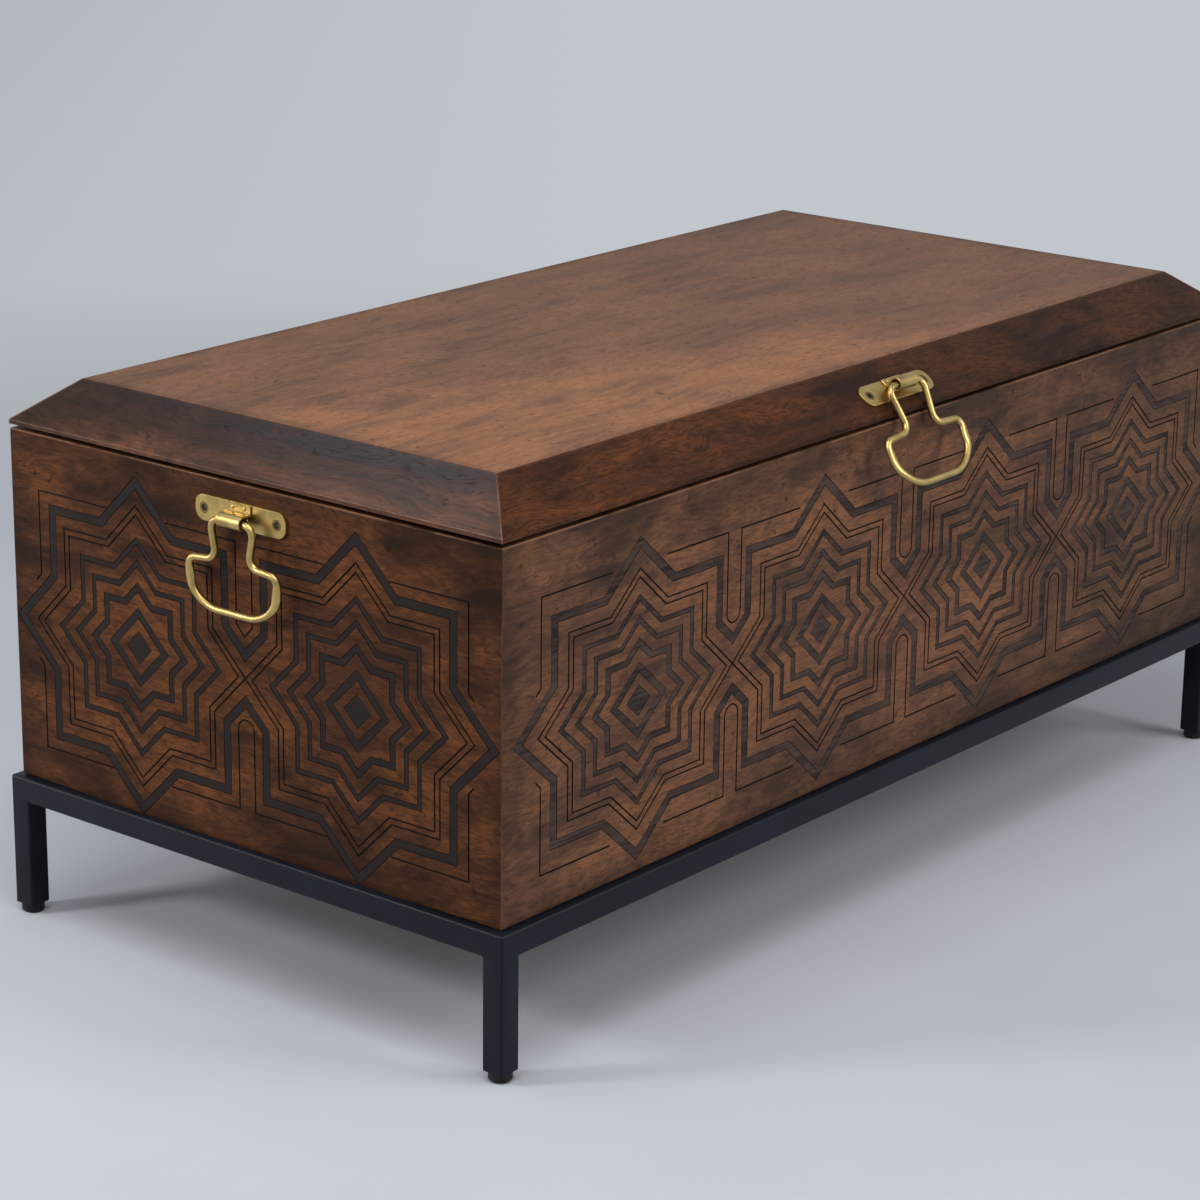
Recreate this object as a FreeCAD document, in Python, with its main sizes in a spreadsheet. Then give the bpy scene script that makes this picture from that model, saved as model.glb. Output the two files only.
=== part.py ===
"""Trunk coffee table: a bevelled-lid chest with drop bails on a welded square-tube base.

Millimetres, +Z up, with +X along the length and the front towards -Y. The pieces are drawn about the
middle of the box, and each finished one is then moved so that the origin lies on the floor under the
middle of the whole table, with the front bail that leans out.
"""
import FreeCAD, Part
import math
import os
import re

import Sketcher

SIZES = {
    # Box
    "box_length": 1030,
    "box_depth": 522,
    "side_height": 295,
    "panel_thickness": 20,
    "bottom_thickness": 12,
    "cleat_size": 18,
    "corner_block_size": 18,
    "corner_block_drop": 12,
    # Lid
    "reveal": 3,
    "nosing": 4,
    "bevel_rise": 33,
    "bevel_run": 43,
    "lid_rail_width": 54,
    "board_thickness": 16,
    "board_seam": 0.4,
    "batten_width": 45,
    "batten_thickness": 12,
    "batten_inset": 215,
    "batten_end_gap": 1.5,
    "bumper_diameter": 10,
    "bumper_inset": 60,
    # Base
    "foot_height": 8,
    "foot_diameter": 19,
    "foot_chamfer": 2,
    "stem_diameter": 6,
    "stem_length": 22,
    "stem_clearance": 0.05,
    "insert_length": 24,
    "leg_length": 113,
    "tube_size": 20,
    "rail_height": 21,
    "tube_wall": 1.5,
    "tube_round": 2,
    "weld_radius": 4,
    "frame_overhang": 7,
    "pad_thickness": 1,
    "pad_width": 9,
    "pad_edge": 2,
    "tab_width": 40,
    "tab_reach": 32,
    "tab_thickness": 3,
    "tab_inset": 175,
    # Hinges at the back
    "hinge_inset": 185,
    "hinge_length": 64,
    "hinge_barrel": 6,
    "hinge_pin": 3,
    "hinge_press": 0.01,
    "hinge_running": 0.05,
    "hinge_gap": 0.3,
    "leaf_width": 17,
    "leaf_gap": 0.2,
    "leaf_screw_spacing": 22,
    "leaf_screw_inset": 12,
    # Lid stays, inside each end of the box
    "lid_opening": 100,
    "stay_floor_gap": 38.6,
    "stay_pivot_angle": 5,
    "stay_pin_angle": 25,
    "stay_offset": 5,
    "stay_thickness": 2,
    "stay_width": 16,
    "stay_end": 9,
    "stay_pin": 5,
    "stay_head": 9,
    "stay_head_height": 1.4,
    "stay_side_gap": 0.4,
    "stay_slot_gap": 0.3,
    "stay_stop_gap": 0.2,
    "stay_plate": 2,
    "stay_plate_width": 18,
    "stay_plate_height": 40,
    "stay_plate_screws": 28,
    "stay_flange": 18,
    "stay_bracket_width": 30,
    "stay_bracket_screws": 19,
    # Drop handles
    "end_handle_drop": 24.5,
    "front_handle_slope": 20.5,
    "handle_length": 96,
    "handle_width": 21,
    "handle_thickness": 2.5,
    "handle_corner": 9,
    "handle_screws": 77,
    "knuckle_length": 25,
    "knuckle_bore": 8.4,
    "knuckle_drop": 3,
    "knuckle_strap": 1.6,
    "knuckle_foot": 8,
    "knuckle_rivet": 3.6,
    "knuckle_rivet_height": 1,
    "knuckle_rivets": 12,
    "pivot_height": 11.5,
    "bail_wire": 6,
    "bail_clearance": 0.3,
    "bail_rest_gap": 0.3,
    "bail_end": 4.5,
    "bail_eye_bend": 8,
    "bail_neck_bend": 9,
    "bail_shoulder_bend": 9,
    "bail_side_bend": 18,
    "bail_foot_bend": 38,
    "end_bail_eye": 23.5,
    "end_bail_neck": 17,
    "end_bail_neck_drop": 32.5,
    "end_bail_half_width": 47.6,
    "end_bail_shoulder_drop": 35,
    "end_bail_side_drop": 57,
    "end_bail_foot": 30,
    "end_bail_drop": 73,
    "front_bail_eye": 25,
    "front_bail_neck": 18.5,
    "front_bail_neck_drop": 39.5,
    "front_bail_half_width": 54,
    "front_bail_shoulder_drop": 41.5,
    "front_bail_side_drop": 64,
    "front_bail_foot": 33,
    "front_bail_drop": 83,
    # Screws
    "large_head": 8.6,
    "large_head_depth": 2.2,
    "large_shank": 4,
    "handle_screw_length": 16,
    "frame_screw_length": 28,
    "batten_screw_length": 22,
    "small_head": 5.6,
    "small_head_depth": 1.3,
    "small_shank": 2.6,
    "small_screw_length": 16,
    "short_screw_length": 11,
    "screw_clearance": 0.1,
    "screw_tip_gap": 0.5,
}

# Places and sizes that follow from the driving ones
PLACES = {
    "half_length": "box_length / 2",
    "half_depth": "box_depth / 2",
    "frame_half_length": "half_length + frame_overhang",
    "frame_half_depth": "half_depth + frame_overhang",
    "frame_top": "foot_height + leg_length",
    "rail_bottom": "frame_top - rail_height",
    "box_bottom": "frame_top + pad_thickness",
    "floor_top": "box_bottom + bottom_thickness",
    "box_top": "box_bottom + side_height",
    "lid_bottom": "box_top + reveal",
    "lid_height": "nosing + bevel_rise",
    "lid_top": "lid_bottom + lid_height",
    "board_bottom": "lid_top - board_thickness",
    "inner_half_length": "half_length - panel_thickness",
    "inner_half_depth": "half_depth - panel_thickness",
    "leaf_thickness": "(reveal - leaf_gap) / 2",
    "hinge_axis_y": "half_depth + hinge_gap + hinge_barrel / 2",
    "hinge_axis_z": "box_top + reveal / 2",
    "hinge_knuckle": "(hinge_length - 2 * hinge_gap) / 3",
    "stay_rest_angle": "((stay_pivot_angle + stay_pin_angle) / 2)",
    "stay_swing": "((stay_pin_angle - stay_pivot_angle + lid_opening) / 2)",
    "stay_room": "hinge_axis_z - floor_top - cleat_size - stay_floor_gap"
                 " - stay_width / 2 - stay_end * cos(stay_rest_angle)",
    "stay_radius": "stay_room / (sin(stay_pivot_angle) + 2 * sin(stay_swing) * cos(stay_rest_angle))",
    "stay_pivot_y": "hinge_axis_y - stay_radius * cos(stay_pivot_angle)",
    "stay_pivot_z": "hinge_axis_z - stay_radius * sin(stay_pivot_angle)",
    "stay_pin_y": "hinge_axis_y - stay_radius * cos(stay_pin_angle)",
    "stay_pin_z": "hinge_axis_z - stay_radius * sin(stay_pin_angle)",
    "stay_closed": "2 * stay_radius * sin((stay_pin_angle - stay_pivot_angle) / 2)",
    "stay_open": "2 * stay_radius * sin(stay_swing)",
    "stay_length": "stay_open + stay_end",
    "stay_slot": "stay_pin + 2 * stay_slot_gap",
    "stay_slot_start": "stay_closed - stay_stop_gap",
    "stay_slot_end": "stay_open + stay_stop_gap",
    "stay_inner": "stay_offset + stay_thickness + stay_side_gap",
    "stay_pin_length": "stay_inner - stay_plate",
    "stay_pivot_length": "stay_thickness + 2 * stay_side_gap",
    "stay_leg_bottom": "stay_pivot_z - stay_end",
    "bevel_length": "hypot(bevel_run; bevel_rise)",
    "bevel_cos": "bevel_run / bevel_length",
    "bevel_sin": "bevel_rise / bevel_length",
    "end_handle_z": "box_top - end_handle_drop",
    "knuckle_diameter": "(knuckle_bore + 2 * knuckle_strap)",
    "knuckle_axis": "((knuckle_bore - bail_wire) / 2 - bail_clearance - knuckle_drop)",
    "front_pivot_slope": "front_handle_slope - knuckle_drop",
    "front_pivot_in": "front_pivot_slope * bevel_cos - pivot_height * bevel_sin",
    "front_pivot_up": "front_pivot_slope * bevel_sin + pivot_height * bevel_cos",
    "front_pivot_reach": "hypot(front_pivot_in; front_pivot_up)",
    "front_bail_lean": "atan(front_pivot_in / front_pivot_up)"
                       " + asin((bail_wire / 2 + bail_rest_gap) / front_pivot_reach)",
    "front_bail_out": "half_depth - front_pivot_in + front_bail_drop * sin(front_bail_lean) + bail_wire / 2",
    "row_shift": "(front_bail_out - frame_half_depth) / 2",
}

WORD = re.compile(r"[a-z][a-z_]*[a-z]")
BOARDS = 5

UP = FreeCAD.Rotation()
DOWN = FreeCAD.Rotation(FreeCAD.Vector(1, 0, 0), 180)
ALONG_X = FreeCAD.Rotation(FreeCAD.Vector(0, 1, 0), 90)
AGAINST_X = FreeCAD.Rotation(FreeCAD.Vector(0, 1, 0), -90)
ALONG_Y = FreeCAD.Rotation(FreeCAD.Vector(1, 0, 0), -90)
UPRIGHT = FreeCAD.Rotation(FreeCAD.Vector(1, 0, 0), 90)
LEFT_END = FreeCAD.Rotation(FreeCAD.Vector(0, -1, 0), FreeCAD.Vector(0, 0, 1), FreeCAD.Vector(-1, 0, 0))
RIGHT_END = FreeCAD.Rotation(FreeCAD.Vector(0, 1, 0), FreeCAD.Vector(0, 0, 1), FreeCAD.Vector(1, 0, 0))

# Each side of the box: half its run, where its outer face stands, and its turn about Z
SIDES = {
    "front": ("half_length", "0", "-half_depth", 0),
    "back": ("half_length", "0", "half_depth", 180),
    "left": ("half_depth", "-half_length", "0", -90),
    "right": ("half_depth", "half_length", "0", 90),
}
CORNERS = {"front_left": (-1, -1), "front_right": (1, -1), "back_left": (-1, 1), "back_right": (1, 1)}
ENDS = {"left": -1, "right": 1}

doc = FreeCAD.newDocument("trunk_coffee_table")
sheet = doc.addObject("Spreadsheet::Sheet", "Sizes")
for row, (word, value) in enumerate(SIZES.items(), start=1):
    sheet.set(f"A{row}", str(value))
    sheet.setAlias(f"A{row}", word)
doc.recompute()

nodes = {}    # finished pieces by name
holes = {}    # screw holes by the name of the piece that they go through
screws = {}   # screws by the name of their group


def expand(text):
    """Write the words of an expression out as cells of the sheet."""
    def cell(match):
        word = match.group(0)
        if word in SIZES:
            return "Sizes." + word
        return f"({expand(PLACES[word])})" if word in PLACES else word
    return WORD.sub(cell, text)


def bind(item, **sizes):
    """Bind properties of an object to expressions."""
    for name, text in sizes.items():
        item.setExpression(name, expand(text))
    return item


def seat(item, x="0", y="0", z="0", turn=UP):
    """Put an object's own origin at a point, turned by a fixed rotation."""
    item.Placement = FreeCAD.Placement(FreeCAD.Vector(), turn)
    for axis, text in zip("xyz", (x, y, z)):
        item.setExpression(f"Placement.Base.{axis}", expand(text))
    return item


def block(name, length, width, height, x, y, z):
    """A rectangular block whose low corner is at a point."""
    item = doc.addObject("Part::Box", name)
    return seat(bind(item, Length=length, Width=width, Height=height), x, y, z)


def rod(name, diameter, length, x="0", y="0", z="0", turn=UP):
    """A round bar that starts at a point."""
    item = doc.addObject("Part::Cylinder", name)
    return seat(bind(item, Radius=f"({diameter}) / 2", Height=length), x, y, z, turn)


def join(name, pieces):
    """One solid from several that touch or overlap."""
    item = doc.addObject("Part::MultiFuse", name)
    item.Shapes = pieces
    return item


def group(name, pieces):
    """Several separate solids as one object."""
    item = doc.addObject("Part::Compound", name)
    item.Links = pieces
    return item


def cut(name, base, tools):
    """A solid less its tools."""
    item = doc.addObject("Part::Cut", name)
    item.Base = base
    item.Tool = tools[0] if len(tools) == 1 else group(name + "_tools", tools)
    return item


def rounded(name, base, along, radius):
    """A block with its edges along one direction rounded."""
    base.recompute()
    item = doc.addObject("Part::Fillet", name)
    item.Base = base
    item.Edges = [
        (index, radius, radius)
        for index, edge in enumerate(base.Shape.Edges, start=1)
        if abs(edge.tangentAt(edge.FirstParameter).dot(along)) > 0.9
    ]
    return item


def mitred(name, side, thickness, height, z):
    """A bar along one side of the box, cut at 45 degrees where it meets its neighbours."""
    run, x, y, turn = SIDES[side]
    item = doc.addObject("Part::Wedge", name)
    bind(item, Xmin=f"-{run}", Xmax=run, X2min=f"{thickness} - {run}", X2max=f"{run} - {thickness}",
         Ymin="0", Ymax=thickness, Zmin="0", Zmax=height, Z2min="0", Z2max=height)
    return seat(item, x, y, z, FreeCAD.Rotation(FreeCAD.Vector(0, 0, 1), turn))


def keep(label, item):
    """Keep an object as a finished piece: drilled for its screws and moved to the table's own origin."""
    if label in holes:
        item = cut(label + "_drilled", item, holes[label])
    nodes[label] = seat(group(label + "_piece", [item]), y="row_shift")
    nodes[label].Label = label


# Screws
def screw_pattern(name, head, depth, shank, length):
    """A countersunk screw, head up with its top at the origin, and the hole that it needs."""
    made = []
    for kind, extra, tip in (("screw", "0", "0"), ("hole", "2 * screw_clearance", "screw_tip_gap")):
        cone = doc.addObject("Part::Cone", f"{name}_{kind}_head")
        bind(cone, Radius1=f"({shank} + {extra}) / 2", Radius2=f"({head} + {extra}) / 2", Height=depth)
        seat(cone, z=f"-{depth}")
        bar = rod(f"{name}_{kind}_shank", f"{shank} + {extra}", f"{length} + {tip} - {depth}",
                  z=f"-{length} - {tip}")
        made.append(join(f"{name}_{kind}", [cone, bar]))
    return made


def drive(pattern, into, through, place):
    """Set a screw of a group in place and note its hole in each piece that it goes through."""
    screw, hole = pattern
    shown = group(f"{into}_{len(screws.setdefault(into, []))}", [screw])
    screws[into].append(place(shown))
    tool = place(group(shown.Name + "_hole", [hole]))
    for piece in through:
        holes.setdefault(piece, []).append(tool)


LARGE = ("large_head", "large_head_depth", "large_shank")
SMALL = ("small_head", "small_head_depth", "small_shank")
handle_screw = screw_pattern("handle", *LARGE, "handle_screw_length")
frame_screw = screw_pattern("frame", *LARGE, "frame_screw_length")
batten_screw = screw_pattern("batten", *LARGE, "batten_screw_length")
small_screw = screw_pattern("small", *SMALL, "small_screw_length")
short_screw = screw_pattern("short", *SMALL, "short_screw_length")


# Welded base
def leg(corner):
    """A tube leg closed at its top, with the ground welds under the two rails beside it."""
    side_x, side_y = CORNERS[corner]
    name = f"{corner}_leg"
    x = "-frame_half_length" if side_x < 0 else "frame_half_length - tube_size"
    y = "-frame_half_depth" if side_y < 0 else "frame_half_depth - tube_size"
    outside = block(name + "_outside", "tube_size", "tube_size", "leg_length", x, y, "foot_height")
    tube = rounded(name + "_rounded", outside, FreeCAD.Vector(0, 0, 1), sheet.tube_round)
    inside = "tube_size - 2 * tube_wall"
    bore = block(name + "_bore", inside, inside, "leg_length - tube_wall",
                 f"{x} + tube_wall", f"{y} + tube_wall", "foot_height")
    flat = "tube_size - 2 * tube_round"
    weld_z = "rail_bottom - weld_radius"
    inner_x = f"{side_x} * (frame_half_length - tube_size)"
    inner_y = f"{side_y} * (frame_half_depth - tube_size)"
    back_x = " - weld_radius" if side_x > 0 else ""
    back_y = " - weld_radius" if side_y > 0 else ""
    long_weld = cut(name + "_long_weld", block(name + "_long_fill", "weld_radius", flat, "weld_radius",
                                               inner_x + back_x, f"{y} + tube_round", weld_z),
                    [rod(name + "_long_hollow", "2 * weld_radius", flat,
                         f"{inner_x} - {side_x} * weld_radius", f"{y} + tube_round", weld_z, ALONG_Y)])
    short_weld = cut(name + "_short_weld", block(name + "_short_fill", flat, "weld_radius", "weld_radius",
                                                 f"{x} + tube_round", inner_y + back_y, weld_z),
                     [rod(name + "_short_hollow", "2 * weld_radius", flat, f"{x} + tube_round",
                          f"{inner_y} - {side_y} * weld_radius", weld_z, ALONG_X)])
    keep(name, join(name + "_welded", [cut(name + "_tube", tube, [bore]), long_weld, short_weld]))


def rail(side):
    """A tube rail between two legs."""
    name = f"{side}_rail"
    along_x = side in ("front", "back")
    long_x, long_y = "2 * (frame_half_length - tube_size)", "2 * (frame_half_depth - tube_size)"
    wall_y, wall_z = "tube_size - 2 * tube_wall", "rail_height - 2 * tube_wall"
    low = {"front": "-frame_half_depth", "back": "frame_half_depth - tube_size",
           "left": "-frame_half_length", "right": "frame_half_length - tube_size"}[side]
    if along_x:
        x, y = f"-({long_x}) / 2", low
        outside = block(name + "_outside", long_x, "tube_size", "rail_height", x, y, "rail_bottom")
        bore = block(name + "_bore", long_x, wall_y, wall_z, x, f"{y} + tube_wall", "rail_bottom + tube_wall")
    else:
        x, y = low, f"-({long_y}) / 2"
        outside = block(name + "_outside", "tube_size", long_y, "rail_height", x, y, "rail_bottom")
        bore = block(name + "_bore", wall_y, long_y, wall_z, f"{x} + tube_wall", y, "rail_bottom + tube_wall")
    along = FreeCAD.Vector(1, 0, 0) if along_x else FreeCAD.Vector(0, 1, 0)
    keep(name, cut(name + "_tube", rounded(name + "_rounded", outside, along, sheet.tube_round), [bore]))


def foot(corner):
    """A round levelling foot turned with its stem, which screws into the insert of a leg."""
    side_x, side_y = CORNERS[corner]
    body = doc.addObject("PartDesign::Body", f"{corner}_foot")
    plane = next(item for item in body.Origin.OriginFeatures if item.Role == "XZ_Plane")
    sketch = body.newObject("Sketcher::SketchObject", f"{corner}_foot_profile")
    sketch.AttachmentSupport = [(plane, "")]
    sketch.MapMode = "FlatFace"
    outline = [
        ("0", "0"),
        ("foot_diameter / 2 - foot_chamfer", "0"),
        ("foot_diameter / 2", "foot_chamfer"),
        ("foot_diameter / 2", "foot_height"),
        ("stem_diameter / 2", "foot_height"),
        ("stem_diameter / 2", "foot_height + stem_length"),
        ("0", "foot_height + stem_length"),
    ]
    radius, stem, chamfer = sheet.foot_diameter / 2, sheet.stem_diameter / 2, sheet.foot_chamfer
    low, high = sheet.foot_height, sheet.foot_height + sheet.stem_length
    drawn = [(0, 0), (radius - chamfer, 0), (radius, chamfer), (radius, low),
             (stem, low), (stem, high), (0, high)]
    points = [FreeCAD.Vector(across, up) for across, up in drawn]
    for start, end in zip(points, points[1:] + points[:1]):
        sketch.addGeometry(Part.LineSegment(start, end), False)
    for index, (across, up) in enumerate(outline):
        sketch.addConstraint(Sketcher.Constraint("Coincident", index, 2, (index + 1) % len(outline), 1))
        for kind, text, value in (("DistanceX", across, points[index].x), ("DistanceY", up, points[index].y)):
            number = sketch.addConstraint(Sketcher.Constraint(kind, -1, 1, index, 1, value))
            sketch.setExpression(f"Constraints[{number}]", expand(text))
    turned = body.newObject("PartDesign::Revolution", f"{corner}_foot_turned")
    turned.Profile = sketch
    turned.ReferenceAxis = (sketch, ["V_Axis"])
    turned.Angle = 360
    seat(body, f"{side_x} * (frame_half_length - tube_size / 2)",
         f"{side_y} * (frame_half_depth - tube_size / 2)")
    keep(f"{corner}_foot", body)


def insert(corner):
    """The threaded plug in the end of a leg."""
    side_x, side_y = CORNERS[corner]
    x = f"{side_x} * (frame_half_length - tube_size / 2)"
    y = f"{side_y} * (frame_half_depth - tube_size / 2)"
    inside = "tube_size - 2 * tube_wall"
    plug = block(f"{corner}_plug", inside, inside, "insert_length",
                 f"{x} - ({inside}) / 2", f"{y} - ({inside}) / 2", "foot_height")
    thread = rod(f"{corner}_thread", "stem_diameter + 2 * stem_clearance", "insert_length",
                 x, y, "foot_height")
    return cut(f"{corner}_insert", plug, [thread])


def tabs():
    """Flat tabs welded inside the rails, each with a screw up through the box's bottom into a cleat."""
    made = []
    screw_in = "(panel_thickness + cleat_size / 2)"
    spots = [(x, y) for x in (-1, 1) for y in (-1, 1)] + [(-1, 0), (1, 0)]
    for side_x, side_y in spots:
        if side_y:
            x = f"{side_x} * (half_length - tab_inset)"
            inner = f"{side_y} * (frame_half_depth - tube_size)"
            low = inner if side_y < 0 else f"{inner} - tab_reach"
            made.append(block(f"tab_{len(made)}", "tab_width", "tab_reach", "tab_thickness",
                              f"{x} - tab_width / 2", low, "frame_top - tab_thickness"))
            y = f"{side_y} * (half_depth - {screw_in})"
        else:
            inner = f"{side_x} * (frame_half_length - tube_size)"
            low = inner if side_x < 0 else f"{inner} - tab_reach"
            made.append(block(f"tab_{len(made)}", "tab_reach", "tab_width", "tab_thickness",
                              low, "-tab_width / 2", "frame_top - tab_thickness"))
            x, y = f"{side_x} * (half_length - {screw_in})", "0"
        drive(frame_screw, "base_screws", ("base_tabs", "bottom_panel", "bottom_cleats"),
              lambda item, x=x, y=y: seat(item, x, y, "frame_top - tab_thickness", DOWN))
    keep("base_tabs", group("tab_group", made))


def pads():
    """Felt strips that keep the box off the steel."""
    along, across = "box_length - 2 * pad_edge", "box_depth - 2 * (2 * pad_edge + pad_width)"
    made = []
    for side in (-1, 1):
        y = "pad_edge - half_depth" if side < 0 else "half_depth - pad_edge - pad_width"
        made.append(block(f"long_pad_{len(made)}", along, "pad_width", "pad_thickness",
                          f"-({along}) / 2", y, "frame_top"))
        x = "pad_edge - half_length" if side < 0 else "half_length - pad_edge - pad_width"
        made.append(block(f"short_pad_{len(made)}", "pad_width", across, "pad_thickness",
                          x, f"-({across}) / 2", "frame_top"))
    keep("base_pads", group("pad_group", made))


for corner in CORNERS:
    leg(corner)
    foot(corner)
keep("leg_inserts", group("insert_group", [insert(corner) for corner in CORNERS]))
for side in SIDES:
    rail(side)
tabs()
pads()


# Hinges
def hinge(side):
    """A butt hinge in the reveal at the back: two leaves that fill it and a pin behind the box."""
    x = f"{ENDS[side]} * (half_length - hinge_inset)"
    low = f"{x} - hinge_length / 2"
    name = f"{side}_hinge"

    def leaf(kind, z, strip_z, bays, bore):
        """One leaf with its knuckles, which stand in the given bays of the three."""
        made = [block(f"{name}_{kind}_plate", "hinge_length", "leaf_width", "leaf_thickness",
                      low, "half_depth - leaf_width", z)]
        for bay in bays:
            start = f"{low} + {bay} * (hinge_knuckle + hinge_gap)"
            made.append(block(f"{name}_{kind}_strip_{bay}", "hinge_knuckle", "hinge_axis_y - half_depth",
                              "leaf_thickness", start, "half_depth", strip_z))
            made.append(rod(f"{name}_{kind}_knuckle_{bay}", "hinge_barrel", "hinge_knuckle",
                            start, "hinge_axis_y", "hinge_axis_z", ALONG_X))
        hole = rod(f"{name}_{kind}_bore", f"hinge_pin + 2 * {bore}", "hinge_length",
                   low, "hinge_axis_y", "hinge_axis_z", ALONG_X)
        return cut(f"{name}_{kind}_leaf_bored", join(f"{name}_{kind}_leaf_blank", made), [hole])

    for step in (-1, 0, 1):
        screw_x, screw_y = f"{x} + {step} * leaf_screw_spacing", "half_depth - leaf_screw_inset"
        drive(small_screw, "box_hardware_screws", (f"{name}_box_leaf", "back_panel"),
              lambda item, x=screw_x, y=screw_y: seat(item, x, y, "box_top + leaf_thickness", UP))
        drive(short_screw, "lid_hardware_screws", (f"{name}_lid_leaf", "lid_back_rail"),
              lambda item, x=screw_x, y=screw_y: seat(item, x, y, "lid_bottom - leaf_thickness", DOWN))
    keep(f"{name}_box_leaf", leaf("box", "box_top", "box_top", (0, 2), "hinge_press"))
    lid_z = "lid_bottom - leaf_thickness"
    keep(f"{name}_lid_leaf", leaf("lid", lid_z, lid_z, (1,), "hinge_running"))
    keep(f"{name}_pin", rod(f"{name}_pin_rod", "hinge_pin", "hinge_length",
                            low, "hinge_axis_y", "hinge_axis_z", ALONG_X))


# Lid stays: the lid's pivot and the box's pin are equally far from the hinge axis, so an arm that runs
# from one over the other turns by exactly half the lid's angle
def stay(side):
    """One slotted stay: its arm, its bracket on the lid and its bracket on the end panel."""
    inward = -ENDS[side]
    name = f"{side}_stay"

    def inside(offset, width):
        """The low x of a slab of that width, so far in from the end panel's inner face."""
        if inward > 0:
            return f"{offset} - inner_half_length"
        return f"inner_half_length - ({offset}) - ({width})"

    def across(label, diameter, length, offset, y, z):
        """A round bar along X, from its offset inwards."""
        return rod(label, diameter, length, inside(offset, length), y, z, ALONG_X)

    arm = join(f"{name}_arm_bar", [
        block(f"{name}_bar", "stay_thickness", "stay_width", "stay_length",
              "0", "-stay_width / 2", "-stay_length"),
        rod(f"{name}_bar_top", "stay_width", "stay_thickness", turn=ALONG_X),
        rod(f"{name}_bar_tip", "stay_width", "stay_thickness", z="-stay_length", turn=ALONG_X),
    ])
    slot = join(f"{name}_slot", [
        block(f"{name}_slot_run", "stay_thickness", "stay_slot", "stay_slot_end - stay_slot_start",
              "0", "-stay_slot / 2", "-stay_slot_end"),
        rod(f"{name}_slot_start", "stay_slot", "stay_thickness", z="-stay_slot_start", turn=ALONG_X),
        rod(f"{name}_slot_end", "stay_slot", "stay_thickness", z="-stay_slot_end", turn=ALONG_X),
        rod(f"{name}_eye", "stay_pin + 2 * hinge_running", "stay_thickness", turn=ALONG_X),
    ])
    bar = cut(f"{name}_arm_cut", arm, [slot])
    seat(bar, inside("stay_offset", "stay_thickness"), "stay_pivot_y", "stay_pivot_z",
         FreeCAD.Rotation(FreeCAD.Vector(1, 0, 0), 1))
    bind(bar, **{"Placement.Rotation.Angle": "stay_rest_angle"})
    keep(f"{name}_arm", bar)

    bracket_y = "stay_pivot_y - stay_bracket_width / 2"
    flange_x = inside("stay_inner", "stay_flange")
    lid_bracket = join(f"{name}_lid_bracket_blank", [
        block(f"{name}_leg", "stay_plate", "stay_bracket_width", "lid_bottom - (stay_leg_bottom)",
              inside("stay_inner", "stay_plate"), bracket_y, "stay_leg_bottom"),
        block(f"{name}_flange", "stay_flange", "stay_bracket_width", "stay_plate",
              flange_x, bracket_y, "lid_bottom - stay_plate"),
        across(f"{name}_pivot", "stay_pin", "stay_pivot_length", "stay_offset - stay_side_gap",
               "stay_pivot_y", "stay_pivot_z"),
        across(f"{name}_pivot_head", "stay_head", "stay_head_height",
               "stay_offset - stay_side_gap - stay_head_height", "stay_pivot_y", "stay_pivot_z"),
    ])
    box_bracket = join(f"{name}_box_bracket_blank", [
        block(f"{name}_plate", "stay_plate", "stay_plate_width", "stay_plate_height",
              inside("0", "stay_plate"), "stay_pin_y - stay_plate_width / 2",
              "stay_pin_z - stay_plate_height / 2"),
        across(f"{name}_pin", "stay_pin", "stay_pin_length", "stay_plate", "stay_pin_y", "stay_pin_z"),
        across(f"{name}_pin_head", "stay_head", "stay_head_height", "stay_inner", "stay_pin_y", "stay_pin_z"),
    ])
    face = ALONG_X if inward > 0 else AGAINST_X
    for step in (-1, 1):
        drive(small_screw, "lid_hardware_screws", (f"{name}_lid_bracket", f"lid_{side}_rail"),
              lambda item, step=step: seat(item, f"{flange_x} + stay_flange / 2 + {inward} * stay_plate / 2",
                                           f"stay_pivot_y + {step} * stay_bracket_screws / 2",
                                           "lid_bottom - stay_plate", DOWN))
        drive(small_screw, "box_hardware_screws", (f"{name}_box_bracket", f"{side}_panel"),
              lambda item, step=step: seat(item, inside("stay_plate", "0"), "stay_pin_y",
                                           f"stay_pin_z + {step} * stay_plate_screws / 2", face))
    keep(f"{name}_lid_bracket", lid_bracket)
    keep(f"{name}_box_bracket", box_bracket)


for end in ENDS:
    hinge(end)
    stay(end)


# Drop handles, drawn lying flat: their length along X, up the panel along Y and outwards along Z
def bent_wire(points, bends, diameter):
    """A round wire along straight runs through the points, with an arc at each point between them."""
    edges = []
    start = points[0]
    for before, corner, after, radius in zip(points, points[1:], points[2:], bends):
        run_in = (corner - before).normalize()
        run_out = (after - corner).normalize()
        half_turn = run_in.getAngle(run_out) / 2
        reach = radius * math.tan(half_turn)
        inside = (run_out - run_in).normalize() * (radius / math.cos(half_turn) - radius)
        first, last = corner - run_in * reach, corner + run_out * reach
        edges.append(Part.LineSegment(start, first).toShape())
        edges.append(Part.Arc(first, corner + inside, last).toShape())
        start = last
    edges.append(Part.LineSegment(start, points[-1]).toShape())
    ring = Part.Wire([Part.Circle(points[0], points[1] - points[0], diameter / 2).toShape()])
    return Part.Wire(edges).makePipeShell([ring], True, False)


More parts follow.
